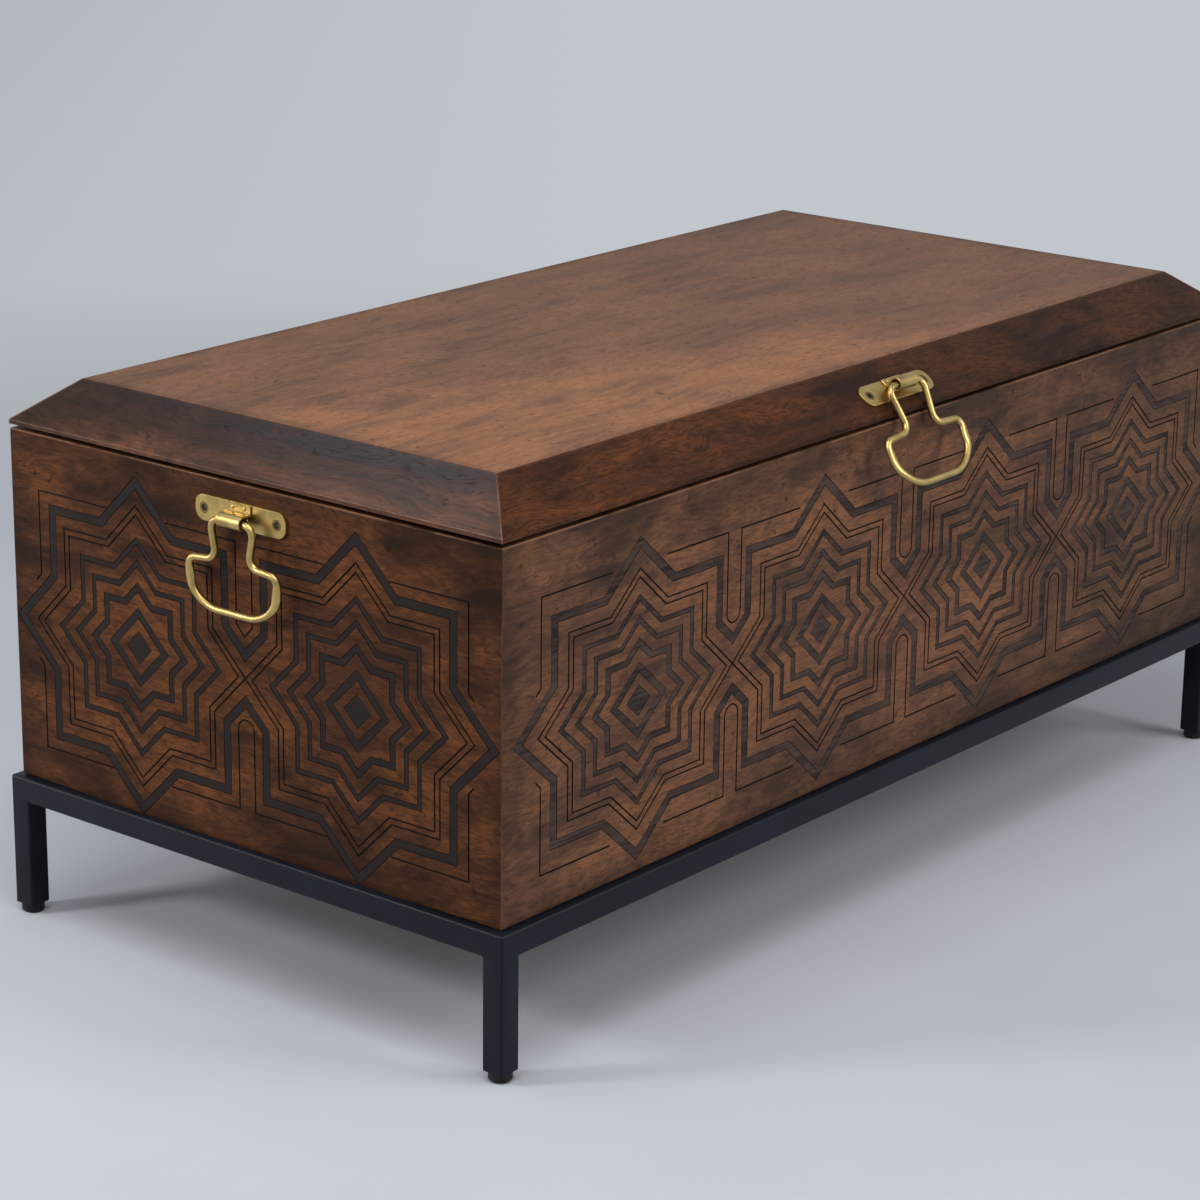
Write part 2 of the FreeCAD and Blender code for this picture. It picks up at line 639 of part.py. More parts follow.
def bail_shape(kind):
    """A bail of the end or the front kind: its ends in the knuckle, a narrow neck and a wide loop below."""
    def size(word):
        return getattr(sheet, f"{kind}_bail_{word}")

    half = [
        (sheet.bail_end, 0),
        (size("eye"), 0),
        (size("neck"), size("neck_drop")),
        (size("half_width"), size("shoulder_drop")),
        (size("half_width"), size("side_drop")),
        (size("foot"), size("drop")),
    ]
    bends = [sheet.bail_eye_bend, sheet.bail_neck_bend, sheet.bail_shoulder_bend,
             sheet.bail_side_bend, sheet.bail_foot_bend]
    right = [FreeCAD.Vector(across, -drop) for across, drop in half]
    left = [FreeCAD.Vector(-across, -drop) for across, drop in reversed(half)]
    return bent_wire(right + left, bends + bends[::-1], sheet.bail_wire)


plate_sheet = block("handle_sheet", "handle_length", "handle_width", "handle_thickness",
                    "-handle_length / 2", "-handle_width / 2", "0")
handle_plate = rounded("handle_plate", plate_sheet, FreeCAD.Vector(0, 0, 1), sheet.handle_corner)
knuckle_top = "knuckle_diameter / 2 + knuckle_axis"
strap_low = f"{knuckle_top} - knuckle_strap"
handle_knuckle = cut("handle_knuckle", join("handle_knuckle_blank", [
    rod("knuckle_barrel", "knuckle_diameter", "knuckle_length", "-knuckle_length / 2", "knuckle_axis",
        "pivot_height", ALONG_X),
    block("knuckle_web", "knuckle_length", "knuckle_strap", "pivot_height - handle_thickness",
          "-knuckle_length / 2", strap_low, "handle_thickness"),
    block("knuckle_tongue", "knuckle_length", "knuckle_foot", "knuckle_strap",
          "-knuckle_length / 2", strap_low, "handle_thickness"),
] + [
    rod(f"knuckle_rivet_{step}", "knuckle_rivet", "knuckle_rivet_height", f"{step} * knuckle_rivets / 2",
        f"{strap_low} + (knuckle_foot + knuckle_strap) / 2", "handle_thickness + knuckle_strap")
    for step in (-1, 1)
]), [rod("knuckle_hole", "knuckle_bore", "knuckle_length", "-knuckle_length / 2", "knuckle_axis",
         "pivot_height", ALONG_X)])


def on_handle(item, place, across="0", up="0", out="0"):
    """Seat an object at a point of a handle: along it, up the panel and outwards from the panel."""
    if place == "front":
        slope = f"(front_handle_slope + {up})"
        seat(item, across, f"{slope} * bevel_cos - ({out}) * bevel_sin - half_depth",
             f"lid_bottom + nosing + {slope} * bevel_sin + ({out}) * bevel_cos",
             FreeCAD.Rotation(FreeCAD.Vector(1, 0, 0), 1))
        return bind(item, **{"Placement.Rotation.Angle": "atan(bevel_rise / bevel_run)"})
    side = ENDS[place]
    return seat(item, f"{side} * (half_length + {out})", f"{side} * ({across})", f"end_handle_z + {up}",
                LEFT_END if side < 0 else RIGHT_END)


def handle(place):
    """A drop handle: back plate, knuckle strap riveted to it, bail and two screws."""
    name = f"{place}_handle"
    into = "front_handle_screws" if place == "front" else "end_handle_screws"
    wood = "lid_front_rail" if place == "front" else f"{place}_panel"
    for step in (-1, 1):
        drive(handle_screw, into, (f"{name}_plate", wood),
              lambda item, step=step: on_handle(item, place, f"{step} * handle_screws / 2",
                                                out="handle_thickness"))
    keep(f"{name}_plate", on_handle(group(f"{name}_plate_blank", [handle_plate]), place))
    keep(f"{name}_knuckle", on_handle(group(f"{name}_knuckle_set", [handle_knuckle]), place))
    bail = doc.addObject("Part::Feature", f"{name}_bail")
    bail.Shape = bail_shape("front" if place == "front" else "end")
    if place == "front":
        seat(bail, "0", "front_pivot_in - half_depth", "lid_bottom + nosing + front_pivot_up",
             FreeCAD.Rotation(FreeCAD.Vector(1, 0, 0), 1))
        bind(bail, **{"Placement.Rotation.Angle": "90 deg - front_bail_lean"})
    else:
        on_handle(bail, place, "0", "(-knuckle_drop)", "pivot_height")
    keep(f"{name}_bail", bail)


for place in ("left", "right", "front"):
    handle(place)


# Lid
def lid_boards():
    """The lengthwise boards of the top and the battens screwed up into them."""
    bed_length, bed_depth = "box_length - 2 * bevel_run", "box_depth - 2 * bevel_run"
    width = f"(({bed_depth} - {BOARDS - 1} * board_seam) / {BOARDS})"
    well_depth = "box_depth - 2 * lid_rail_width - 2 * batten_end_gap"
    battens = [
        block(f"batten_{step + 1}", "batten_width", well_depth, "batten_thickness",
              f"{step} * (half_length - batten_inset) - batten_width / 2", f"-({well_depth}) / 2",
              "board_bottom - batten_thickness")
        for step in (-1, 0, 1)
    ]
    for number in range(BOARDS):
        label = f"lid_board_{number + 1}"
        low = f"bevel_run - half_depth + {number} * ({width} + board_seam)"
        middle = f"{low} + {width} / 2"
        for step in (-1, 0, 1):
            drive(batten_screw, "batten_screws", ("lid_battens", label),
                  lambda item, step=step, y=middle: seat(item, f"{step} * (half_length - batten_inset)", y,
                                                         "board_bottom - batten_thickness", DOWN))
        keep(label, block(f"{label}_blank", bed_length, width, "board_thickness", f"-({bed_length}) / 2", low,
                          "board_bottom"))
    keep("lid_battens", group("batten_group", battens))


def lid_rails():
    """Four bevelled rails, mitred at the corners and rebated for the boards."""
    slab = block("lid_slab", "box_length", "box_depth", "nosing", "-half_length", "-half_depth", "lid_bottom")
    slope = doc.addObject("Part::Wedge", "lid_slope")
    bind(slope, Xmin="-half_length", Xmax="half_length", X2min="bevel_run - half_length",
         X2max="half_length - bevel_run", Ymin="0", Ymax="bevel_rise", Zmin="-half_depth", Zmax="half_depth",
         Z2min="bevel_run - half_depth", Z2max="half_depth - bevel_run")
    seat(slope, z="lid_bottom + nosing", turn=UPRIGHT)
    bed = block("lid_bed", "box_length - 2 * bevel_run", "box_depth - 2 * bevel_run", "board_thickness",
                "bevel_run - half_length", "bevel_run - half_depth", "board_bottom")
    well = block("lid_well", "box_length - 2 * lid_rail_width", "box_depth - 2 * lid_rail_width",
                 "lid_height", "lid_rail_width - half_length", "lid_rail_width - half_depth", "lid_bottom")
    ring = cut("lid_ring", join("lid_blank", [slab, slope]), [bed, well])
    for side in SIDES:
        piece = doc.addObject("Part::Common", f"lid_{side}_rail_blank")
        piece.Base = ring
        piece.Tool = mitred(f"lid_{side}_mitre", side, "lid_rail_width", "lid_height", "lid_bottom")
        keep(f"lid_{side}_rail", piece)


lid_boards()
lid_rails()


# Box
def box():
    """The mitred panels, the bottom between them, its cleats and the blocks in the upright corners."""
    for side in SIDES:
        keep(f"{side}_panel",
             mitred(f"{side}_panel_blank", side, "panel_thickness", "side_height", "box_bottom"))
    keep("bottom_panel", block("bottom_board", "2 * inner_half_length", "2 * inner_half_depth",
                               "bottom_thickness", "-inner_half_length", "-inner_half_depth", "box_bottom"))
    cleats, blocks = [], []
    short = "2 * (inner_half_depth - cleat_size)"
    for side in (-1, 1):
        y = "-inner_half_depth" if side < 0 else "inner_half_depth - cleat_size"
        cleats.append(block(f"long_cleat_{len(cleats)}", "2 * inner_half_length", "cleat_size", "cleat_size",
                            "-inner_half_length", y, "floor_top"))
        x = "-inner_half_length" if side < 0 else "inner_half_length - cleat_size"
        cleats.append(block(f"short_cleat_{len(cleats)}", "cleat_size", short, "cleat_size",
                            x, f"-({short}) / 2", "floor_top"))
    for corner, (side_x, side_y) in CORNERS.items():
        x = "-inner_half_length" if side_x < 0 else "inner_half_length - corner_block_size"
        y = "-inner_half_depth" if side_y < 0 else "inner_half_depth - corner_block_size"
        height = "box_top - corner_block_drop - floor_top - cleat_size"
        blocks.append(block(f"{corner}_block", "corner_block_size", "corner_block_size", height,
                            x, y, "floor_top + cleat_size"))
    keep("bottom_cleats", group("cleat_group", cleats))
    keep("corner_blocks", group("corner_block_group", blocks))


def bumpers():
    """Felt bumpers that carry the lid's front and ends in the reveal."""
    edge = "panel_thickness / 2"
    spots = [(f"{side} * (half_length - bumper_inset)", f"{edge} - half_depth") for side in (-1, 1)]
    spots += [(f"{side} * (half_length - {edge})", "0") for side in (-1, 1)]
    made = [rod(f"bumper_{number}", "bumper_diameter", "reveal", x, y, "box_top")
            for number, (x, y) in enumerate(spots)]
    keep("lid_bumpers", group("bumper_group", made))


box()
bumpers()
for into, made in screws.items():
    keep(into, group(f"{into}_group", made))

doc.recompute()
for item in doc.Objects:
    if "Invalid" in item.State or "Error" in item.State:
        raise RuntimeError(f"{item.Label} failed: {item.State}")
for label, item in nodes.items():
    if item.Shape.isNull() or not item.Shape.isValid():
        raise RuntimeError(f"{label} has no valid shape")
os.makedirs("parts", exist_ok=True)
for label, item in nodes.items():
    item.Shape.exportStep(f"parts/{label}.step")
print(f"{len(nodes)} pieces")
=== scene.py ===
"""Looks of the trunk coffee table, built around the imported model.

A low trunk of dark wood with inlaid eight-point stars stands on a black steel base. Its chamfered plank lid and its
two ends carry brass drop handles. Lengths are in metres, in the model's own frame: X runs along the front, Y from
front to back and Z up.
"""

from __future__ import annotations

import logging
import math
from dataclasses import dataclass
from enum import Enum
from typing import Any, Callable, Iterable, Sequence

import bmesh
import bpy
from mathutils import Matrix, Vector
from mathutils.geometry import delaunay_2d_cdt, tessellate_polygon


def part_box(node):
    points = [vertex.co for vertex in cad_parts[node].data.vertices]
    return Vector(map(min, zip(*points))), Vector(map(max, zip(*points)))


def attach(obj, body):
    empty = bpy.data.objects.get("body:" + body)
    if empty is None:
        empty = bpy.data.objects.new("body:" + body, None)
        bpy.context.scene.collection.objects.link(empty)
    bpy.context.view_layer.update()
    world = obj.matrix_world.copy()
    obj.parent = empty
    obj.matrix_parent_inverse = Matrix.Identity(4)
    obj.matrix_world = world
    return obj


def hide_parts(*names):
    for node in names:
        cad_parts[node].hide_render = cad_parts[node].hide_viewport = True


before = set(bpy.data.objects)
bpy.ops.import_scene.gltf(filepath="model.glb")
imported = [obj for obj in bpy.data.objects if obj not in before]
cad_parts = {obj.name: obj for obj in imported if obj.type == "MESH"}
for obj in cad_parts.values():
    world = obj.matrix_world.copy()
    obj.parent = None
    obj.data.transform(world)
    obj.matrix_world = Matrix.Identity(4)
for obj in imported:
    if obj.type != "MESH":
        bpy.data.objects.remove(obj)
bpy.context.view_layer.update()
LOG = logging.getLogger("trunk_table")

Colour = tuple[float, float, float]
Point = tuple[float, float]
Point3 = tuple[float, float, float]

MM = 0.001
SQRT2 = math.sqrt(2.0)


class Sock:
    """An output socket of a finish's nodes, which takes part in Python arithmetic."""

    def __init__(self, shader: Shader, socket: bpy.types.NodeSocket) -> None:
        """Keep the socket with the shader that it belongs to."""
        self.shader = shader
        self.socket = socket

    def math(self, operation: str, first: Any, second: Any = 0.0) -> Sock:
        """Return a Math node's result on two values."""
        return self.shader.node("ShaderNodeMath", {"operation": operation}, {0: first, 1: second})

    def sibling(self, name: str) -> Sock:
        """Return another output of the same node."""
        return Sock(self.shader, self.socket.node.outputs[name])

    def size(self) -> Sock:
        """Return the value without its sign."""
        return self.math("ABSOLUTE", self)

    def lesser(self, other: Any) -> Sock:
        """Return the smaller of two values."""
        return self.math("MINIMUM", self, other)

    def __add__(self, other: Any) -> Sock:
        """Add a value."""
        return self.math("ADD", self, other)

    __radd__ = __add__

    def __mul__(self, other: Any) -> Sock:
        """Multiply by a value."""
        return self.math("MULTIPLY", self, other)

    __rmul__ = __mul__

    def __sub__(self, other: Any) -> Sock:
        """Take a value away."""
        return self.math("SUBTRACT", self, other)

    def __rsub__(self, other: Any) -> Sock:
        """Take this away from a value."""
        return self.math("SUBTRACT", other, self)


class Shader:
    """The nodes of a material or of the world, added by a single method."""

    def __init__(self, name: str, world: bool = False) -> None:
        """Start an empty material or world.

        Args:
            name: Its name.
            world: Whether it is a world.
        """
        self.owner = bpy.data.worlds.new(name) if world else bpy.data.materials.new(name)
        self.owner.use_nodes = True
        self.tree = self.owner.node_tree
        self.tree.nodes.clear()

    def node(self, kind: str, settings: dict[str, Any] | None = None, inputs: dict[Any, Any] | None = None,
             output: int | str = 0) -> Sock:
        """Add a node.

        Args:
            kind: The node's type.
            settings: Its own settings, which are set first.
            inputs: A value or a socket for each input, by name or number.
            output: The output to return.

        Returns:
            The chosen output.
        """
        node = self.tree.nodes.new(kind)
        for name, value in (settings or {}).items():
            setattr(node, name, value)
        for key, value in (inputs or {}).items():
            socket = node.inputs[key]
            if isinstance(value, Sock):
                self.tree.links.new(value.socket, socket)
            elif socket.type == "RGBA":
                socket.default_value = (*value, 1.0)
            else:
                socket.default_value = value
        return Sock(self, node.outputs[output]) if node.outputs else None

    def place(self) -> Sock:
        """Return the place on the piece, in the model's frame at rest."""
        return self.node("ShaderNodeTexCoord", output="Object")

    def vector(self, operation: str, *values: Any, output: int | str = 0) -> Sock:
        """Return a Vector Math node's result, with output "Value" where that is a number."""
        return self.node("ShaderNodeVectorMath", {"operation": operation}, dict(enumerate(values)), output)

    def noise(self, at: Sock, scale: float | Point3, detail: float, rough: float = 0.5) -> Sock:
        """Return soft noise.

        Args:
            at: The place.
            scale: How fine it is, in all or along each axis.
            detail: How many finer layers lie on it.
            rough: How strong those layers are.

        Returns:
            The noise, from 0 to 1.
        """
        if isinstance(scale, tuple):
            at, scale = self.vector("MULTIPLY", at, scale), 1.0
        return self.node("ShaderNodeTexNoise", {},
                         {"Vector": at, "Scale": scale, "Detail": detail, "Roughness": rough})

    def ramp(self, value: Any, low: float, high: float) -> Sock:
        """Return 0 at low, 1 at high and a smooth step between them."""
        return self.node("ShaderNodeMapRange", {"interpolation_type": "SMOOTHSTEP"},
                         {"Value": value, "From Min": low, "From Max": high})

    def mix(self, amount: Any, first: Any, second: Any, blend: str = "MIX") -> Sock:
        """Return the first colour with an amount of the second, or of their product."""
        return self.node("ShaderNodeMix", {"data_type": "RGBA", "blend_type": blend},
                         {0: amount, 6: first, 7: second}, 2)

    def bump(self, height: Sock, depth: float, strength: float) -> Sock:
        """Return a normal that follows small heights."""
        return self.node("ShaderNodeBump", {}, {"Height": height, "Distance": depth, "Strength": strength})

    def surface(self, **inputs: Any) -> bpy.types.Material:
        """Close the tree with a Principled surface.

        Args:
            **inputs: The shader's sockets, with an underscore for a space.

        Returns:
            The finished material.
        """
        named = {name.replace("_", " "): value for name, value in inputs.items()}
        return self.close(self.node("ShaderNodeBsdfPrincipled", {}, named))

    def close(self, shade: Sock, output: str = "ShaderNodeOutputMaterial") -> bpy.types.ID:
        """Lead a shader to the output and return the finished material or world."""
        self.node(output, {}, {"Surface": shade})
        return self.owner

    def shown(self) -> Sock:
        """Return 1 for what the camera sees, in itself or in gloss and glass, and 0 for light on the object."""
        path = self.node("ShaderNodeLightPath", output="Is Camera Ray")
        return path + path.sibling("Is Glossy Ray") + path.sibling("Is Transmission Ray")


class Grain(Enum):
    """The axis that wood fibres run along."""

    ALONG_X = 0
    ALONG_Y = 1

    def scale(self, along_and_across: Point) -> Point3:
        """Return one number along the fibres and another across them, as a vector."""
        return tuple(along_and_across[0 if axis == self.value else 1] for axis in range(3))


@dataclass(frozen=True)
class Reach:
    """A face's rectangle along two axes of the model's frame, for what changes towards its border."""

    axes: tuple[int, int]
    middle: Point
    half: Point
    depth_axis: int
    outer: float
    mitred: bool = False

    def border(self, shader: Shader, here: Sock) -> tuple[Sock, Sock, Sock, Sock]:
        """Measure off the face's border.

        Args:
            shader: The finish that it is for.
            here: The place on the piece.

        Returns:
            How far off the nearest end or mitre, the nearest long edge, the upper one and the face lie.
        """
        parts = shader.node("ShaderNodeSeparateXYZ", {}, {0: here})
        depth = (parts.sibling("XYZ"[self.depth_axis]) - self.outer).size()
        along, up = (parts.sibling("XYZ"[axis]) - middle for axis, middle in zip(self.axes, self.middle))
        end = self.half[0] - along.size()
        return end - depth if self.mitred else end, self.half[1] - up.size(), self.half[1] - up, depth


@dataclass(frozen=True)
class Fade:
    """A slow change of tone that paints shade, and on the left lid rail also a stain and a bluish sheen: a way over
    the face, where it begins and ends there, its last tint and its blur.
    """

    way: Point3
    start: float
    stop: float
    tint: Colour
    blur: float = 0.3


@dataclass(frozen=True)
class Wood:
    """Stained and lacquered wood with a curly figure, fibres, pores and a smoked border; its rubbed border is
    partly wear and partly a painted highlight, and its fade is painted shade.
    """

    name: str
    grain: Grain
    dark: Colour
    body: Colour
    warm: Colour
    seed: float = 0.0
    reach: Reach | None = None
    fade: Fade | None = None
    smoke: float = 0.0
    smoke_width: float = 0.05
    warmth: float = 0.8
    curl: float = 0.35
    fibres: float = 0.5
    gloss: float = 0.42
    shine: float = 0.12
    soot: Colour = (0.013, 0.007, 0.005)
    # Pale edge tone: partly real wear, partly a painted highlight along the mitres and upper arrises.
    rubbed: Colour = (0.28, 0.14, 0.08)
    rubbed_depth: float = 2.0 * MM
    end_wear: float = 0.25
    long_wear: float = 0.6
    sway: Point = (0.0, 0.06)
    sway_scale: Point = (5.0, 12.0)
    streak_scale: Point = (5.0, 60.0)
    fibre_scale: Point = (80.0, 640.0)
    figure_scale: Point = (6.0, 21.0)
    pore_scale: Point = (70.0, 900.0)
    patch_scale: Point = (8.0, 14.0)
    cloud_scale: float = 11.0
    dent_scale: float = 120.0
    ring_rate: float = 75.0
    wear_width: float = 1.8 * MM
    wear_full: float = 0.2 * MM
    relief: float = 0.35 * MM

    def material(self) -> bpy.types.Material:
        """Build the finish.

        Returns:
            Its material.
        """
        shader = Shader(self.name)
        here = shader.place()
        at = shader.vector("ADD", here, (self.seed, 2.0 * self.seed, 3.0 * self.seed))
        sway = shader.noise(at, self.grain.scale(self.sway_scale), 3.0)
        bent = shader.vector("MULTIPLY_ADD", sway, self.grain.scale(self.sway), at)
        streak = shader.noise(bent, self.grain.scale(self.streak_scale), 6.0, 0.65)
        fibre = shader.noise(bent, self.grain.scale(self.fibre_scale), 3.0, 0.7)
        figure = shader.noise(bent, self.grain.scale(self.figure_scale), 3.0, 0.55)
        patch = shader.noise(at, self.grain.scale(self.patch_scale), 6.0, 0.65)
        cloud = shader.noise(at, self.cloud_scale, 5.0, 0.62)
        pores = shader.ramp(shader.noise(bent, self.grain.scale(self.pore_scale), 1.0), 0.6, 0.72)
        dents = shader.ramp(shader.noise(at, self.dent_scale, 1.0), 0.7, 0.78)
        rings = figure.math("SINE", figure * self.ring_rate)
        tone = shader.mix(shader.ramp(streak, 0.36, 0.6), self.dark, self.body)
        for amount, colour in ((shader.ramp(patch, 0.42, 0.62) * self.warmth, self.warm),
                               (shader.ramp(rings, -0.3, 1.0) * self.curl, self.dark),
                               (shader.ramp(fibre, 0.46, 0.6) * self.fibres, self.dark),
                               (pores * 0.5, self.soot), (dents * 0.6, self.soot)):
            tone = shader.mix(amount, tone, colour)
        # Painted shade: the fade darkens the tone across the face where less light falls.
        if self.fade:
            along = shader.vector("DOT_PRODUCT", here, self.fade.way, output="Value")
            amount = shader.ramp(along + (cloud - 0.5) * self.fade.blur, self.fade.start, self.fade.stop)
            tone = shader.mix(amount, tone, self.fade.tint, "MULTIPLY")
        if self.reach:
            end, long, upper, depth = self.reach.border(shader, here)
            drift = end.lesser(long) + (cloud - 0.5) * (4.0 * self.smoke_width)
            tone = shader.mix(shader.ramp(drift, self.smoke_width, 0.0) * self.smoke, tone, self.soot)
            # Pale rubbed edges at the ends, mitres and upper arris: partly wear, partly a painted highlight where
            # light catches them.
            worn_and_highlit = shader.ramp(end, self.wear_width, self.wear_full) * self.end_wear
            worn_and_highlit = worn_and_highlit + shader.ramp(upper, self.wear_width, self.wear_full) * self.long_wear
            worn_and_highlit = worn_and_highlit * shader.ramp(depth, self.rubbed_depth, 0.3 * MM) * shader.ramp(cloud, 0.4, 0.54)
            tone = shader.mix(worn_and_highlit, tone, self.rubbed)
        height = fibre * 0.6 + streak * 0.4 - pores * 0.5 - dents
        return shader.surface(Base_Color=tone, Roughness=self.gloss + (streak - 0.5) * 0.16 + pores * 0.1,
                              Specular_IOR_Level=self.shine, Normal=shader.bump(height, self.relief, 0.3))


@dataclass(frozen=True)
class Inlay:
    """Ebonised wood let into the panels, or the bare floor of a cut line."""

    name: str
    grain: Grain
    deep: Colour
    pale: Colour
    roughness: float
    fibre_scale: Point = (25.0, 480.0)
    cloud_scale: float = 26.0

    def material(self) -> bpy.types.Material:
        """Build the finish.

        Returns:
            Its material.
        """
        shader = Shader(self.name)
        at = shader.place()
        fibre = shader.noise(at, self.grain.scale(self.fibre_scale), 3.0, 0.6)
        cloud = shader.noise(at, self.cloud_scale, 3.0, 0.6)
        amount = shader.ramp(fibre * 0.6 + cloud * 0.4, 0.36, 0.64)
        return shader.surface(Base_Color=shader.mix(amount, self.deep, self.pale),
                              Roughness=self.roughness + (fibre - 0.5) * 0.2, Specular_IOR_Level=0.1,
                              Normal=shader.bump(fibre, 0.2 * MM, 0.25))


@dataclass(frozen=True)
class Metal:
    """Satin metal with faint clouding and fine rub marks."""

    name: str
    clean: Colour
    aged: Colour
    roughness: float
    cloud_scale: float = 60.0
    rub_scale: Point3 = (900.0, 900.0, 260.0)

    def material(self) -> bpy.types.Material:
        """Build the finish.

        Returns:
            Its material.
        """
        shader = Shader(self.name)
        at = shader.place()
        cloud = shader.noise(at, self.cloud_scale, 4.0, 0.6)
        rub = shader.noise(at, self.rub_scale, 3.0, 0.6)
        tone = shader.mix(shader.ramp(cloud, 0.35, 0.75), self.clean, self.aged)
        return shader.surface(Base_Color=tone, Metallic=1.0,
                              Roughness=self.roughness + (cloud - 0.5) * 0.16 + (rub - 0.5) * 0.12,
                              Normal=shader.bump(rub, 0.08 * MM, 0.2))


@dataclass(frozen=True)
class Coat:
    """A matt skin with a fine grain: powder coat, moulded plastic or felt."""

    name: str
    base: Colour
    fleck: Colour
    roughness: float
    grain_scale: float
    relief: float
    cloud_scale: float = 14.0

    def material(self) -> bpy.types.Material:
        """Build the finish.

        Returns:
            Its material.
        """
        shader = Shader(self.name)
        at = shader.place()
        grit = shader.noise(at, self.grain_scale, 3.0, 0.6)
        cloud = shader.noise(at, self.cloud_scale, 3.0, 0.55)
        amount = shader.ramp(grit * 0.55 + cloud * 0.45, 0.4, 0.66)
        return shader.surface(Base_Color=shader.mix(amount, self.base, self.fleck),
                              Roughness=self.roughness + (cloud - 0.5) * 0.14, Specular_IOR_Level=0.15,
                              Normal=shader.bump(grit, self.relief, 0.3))


@dataclass(frozen=True)
class Layer:
    """A level of a cut face: how deep it lies and which finish slot it takes."""

    depth: float
    slot: int


FACE = Layer(0.0, 0)
CRISP = 8.0  # edges that turn by more degrees stay sharp


class Draft:
    """One piece's points, faces and finish slots while it is shaped, in its own axes."""

    def __init__(self, seat: Matrix | None = None) -> None:
        """Start an empty draft.

        Args:
            seat: The matrix from its own axes to the model's frame, which may change between two shapes.
        """
        self.seat = seat or Matrix.Identity(4)
        self.points: list[Vector] = []
        self.places: list[Vector] = []
        self.faces: list[tuple[int, ...]] = []
        self.slots: list[int] = []

    def ring(self, points: Iterable[Sequence[float]]) -> list[int]:
        """Add points.

        Args:
            points: Their places in the draft's own axes.

        Returns:
            Their numbers.
        """
        first = len(self.points)
        self.points += [Vector(point) for point in points]
        self.places += [self.seat @ point for point in self.points[first:]]
        return list(range(first, len(self.points)))

    def face(self, corners: Iterable[int], slot: int = 0) -> None:
        """Add one face."""
        self.faces.append(tuple(corners))
        self.slots.append(slot)

    def skin(self, rings: Sequence[list[int]]) -> None:
        """Bridge each closed ring to the next, which has as many points.

        Args:
            rings: The numbers of their points.
        """
        for first, second in zip(rings, rings[1:]):
            for k, here in enumerate(first):
                after = (k + 1) % len(first)
                self.face((here, first[after], second[after], second[k]))

    def cap(self, ring: list[int], slot: int = 0) -> None:
        """Close a flat ring."""
        for corners in tessellate_polygon([[self.points[k] for k in ring]]):
            self.face((ring[k] for k in corners), slot)

    def loft(self, rings: Iterable[Iterable[Sequence[float]]]) -> None:
        """Skin a row of closed rings and close both ends.

        Args:
            rings: Their points.
        """
        numbers = [self.ring(points) for points in rings]
        self.skin(numbers)
        self.cap(numbers[0])
        self.cap(numbers[-1])

    def relief(self, outline: Sequence[Point], loops: Sequence[Sequence[Point]],
               layer_at: Callable[[float, float], Layer]) -> list[int]:
        """Cut a flat face to several depths.

        Args:
            outline: The face's convex border.
            loops: Closed lines where the depth may change.
            layer_at: Gives the layer at a place on the face.

        Returns:
            The numbers of the border's points.
        """
        points: list[Vector] = []
        edges: list[tuple[int, int]] = []
        for loop in (outline, *loops):
            first = len(points)
            points += [Vector(point) for point in loop]
            edges += [(first + k, first + (k + 1) % len(loop)) for k in range(len(loop))]
        flat, _, triangles, sources, _, _ = delaunay_2d_cdt(points, edges, [], 0, 1e-6)
        numbers: dict[tuple[int, float], int] = {}

        def number(k: int, layer: Layer) -> int:
            """Find a point of the cut face.

            Args:
                k: The number of the flat point.
                layer: The layer that it lies on.

            Returns:
                Its number in the draft.
            """
            key = (k, layer.depth)
            if key not in numbers:
                numbers[key] = self.ring([(flat[k].x, flat[k].y, -layer.depth)])[0]
            return numbers[key]

        open_sides: dict[tuple[int, int], Layer] = {}
        for triangle in triangles:
            middle = sum((flat[k] for k in triangle), Vector((0.0, 0.0))) / 3.0
            layer = layer_at(middle.x, middle.y)
            self.face((number(k, layer) for k in triangle), layer.slot)
            for a, b in zip(triangle, (*triangle[1:], triangle[0])):
                other = open_sides.pop((b, a), None)
                if other is None:
                    open_sides[(a, b)] = layer
                elif other.depth != layer.depth:
                    deeper = max(layer, other, key=lambda item: item.depth)
                    self.face((number(a, other), number(b, other), number(b, layer), number(a, layer)), deeper.slot)
        places = {source: k for k, group in enumerate(sources) for source in group}
        return [number(places[k], FACE) for k in range(len(outline))]

    def piece(self, name: str, materials: Sequence[bpy.types.Material], crease: float = 32.0) -> bpy.types.Object:
        """Turn the draft into a piece.

        Args:
            name: The piece's name.
            materials: A material for each finish slot.
            crease: Edges that turn by more degrees than this stay sharp.

        Returns:
            The new object, in the model's frame.
        """
        mesh = bpy.data.meshes.new(name)
        mesh.from_pydata(self.places, [], self.faces)
        mesh.polygons.foreach_set("material_index", self.slots)
        for material in materials:
            mesh.materials.append(material)
        work = bmesh.new()
        work.from_mesh(mesh)
        bmesh.ops.recalc_face_normals(work, faces=work.faces[:])
        work.to_mesh(mesh)
        work.free()
        mesh.shade_smooth()
        mesh.set_sharp_from_angle(angle=math.radians(crease))
        piece = bpy.data.objects.new(name, mesh)
        bpy.context.scene.collection.objects.link(piece)
        return piece


def carry(piece: bpy.types.Object, body: str, slot: str, *nodes: str) -> None:
    """Say what a piece belongs to.

    Args:
        piece: The piece.
        body: The body that it rides on.
        slot: Not used.
        *nodes: The nodes that it stands for.
    """
    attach(piece, body)
    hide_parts(*nodes)
    LOG.info("%s rides on %s for %s", piece.name, body, ", ".join(nodes))


def middle_and_half(node: str) -> tuple[Vector, Vector]:
    """Return the middle of a node's box and half its size."""
    low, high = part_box(node)
    return 0.5 * (low + high), 0.5 * (high - low)


def circle(middle: Point, radius: float, count: int) -> list[Point]:
    """Return points on a circle."""
    turns = (2.0 * math.pi * k / count for k in range(count))
    return [(middle[0] + radius * math.cos(turn), middle[1] + radius * math.sin(turn)) for turn in turns]


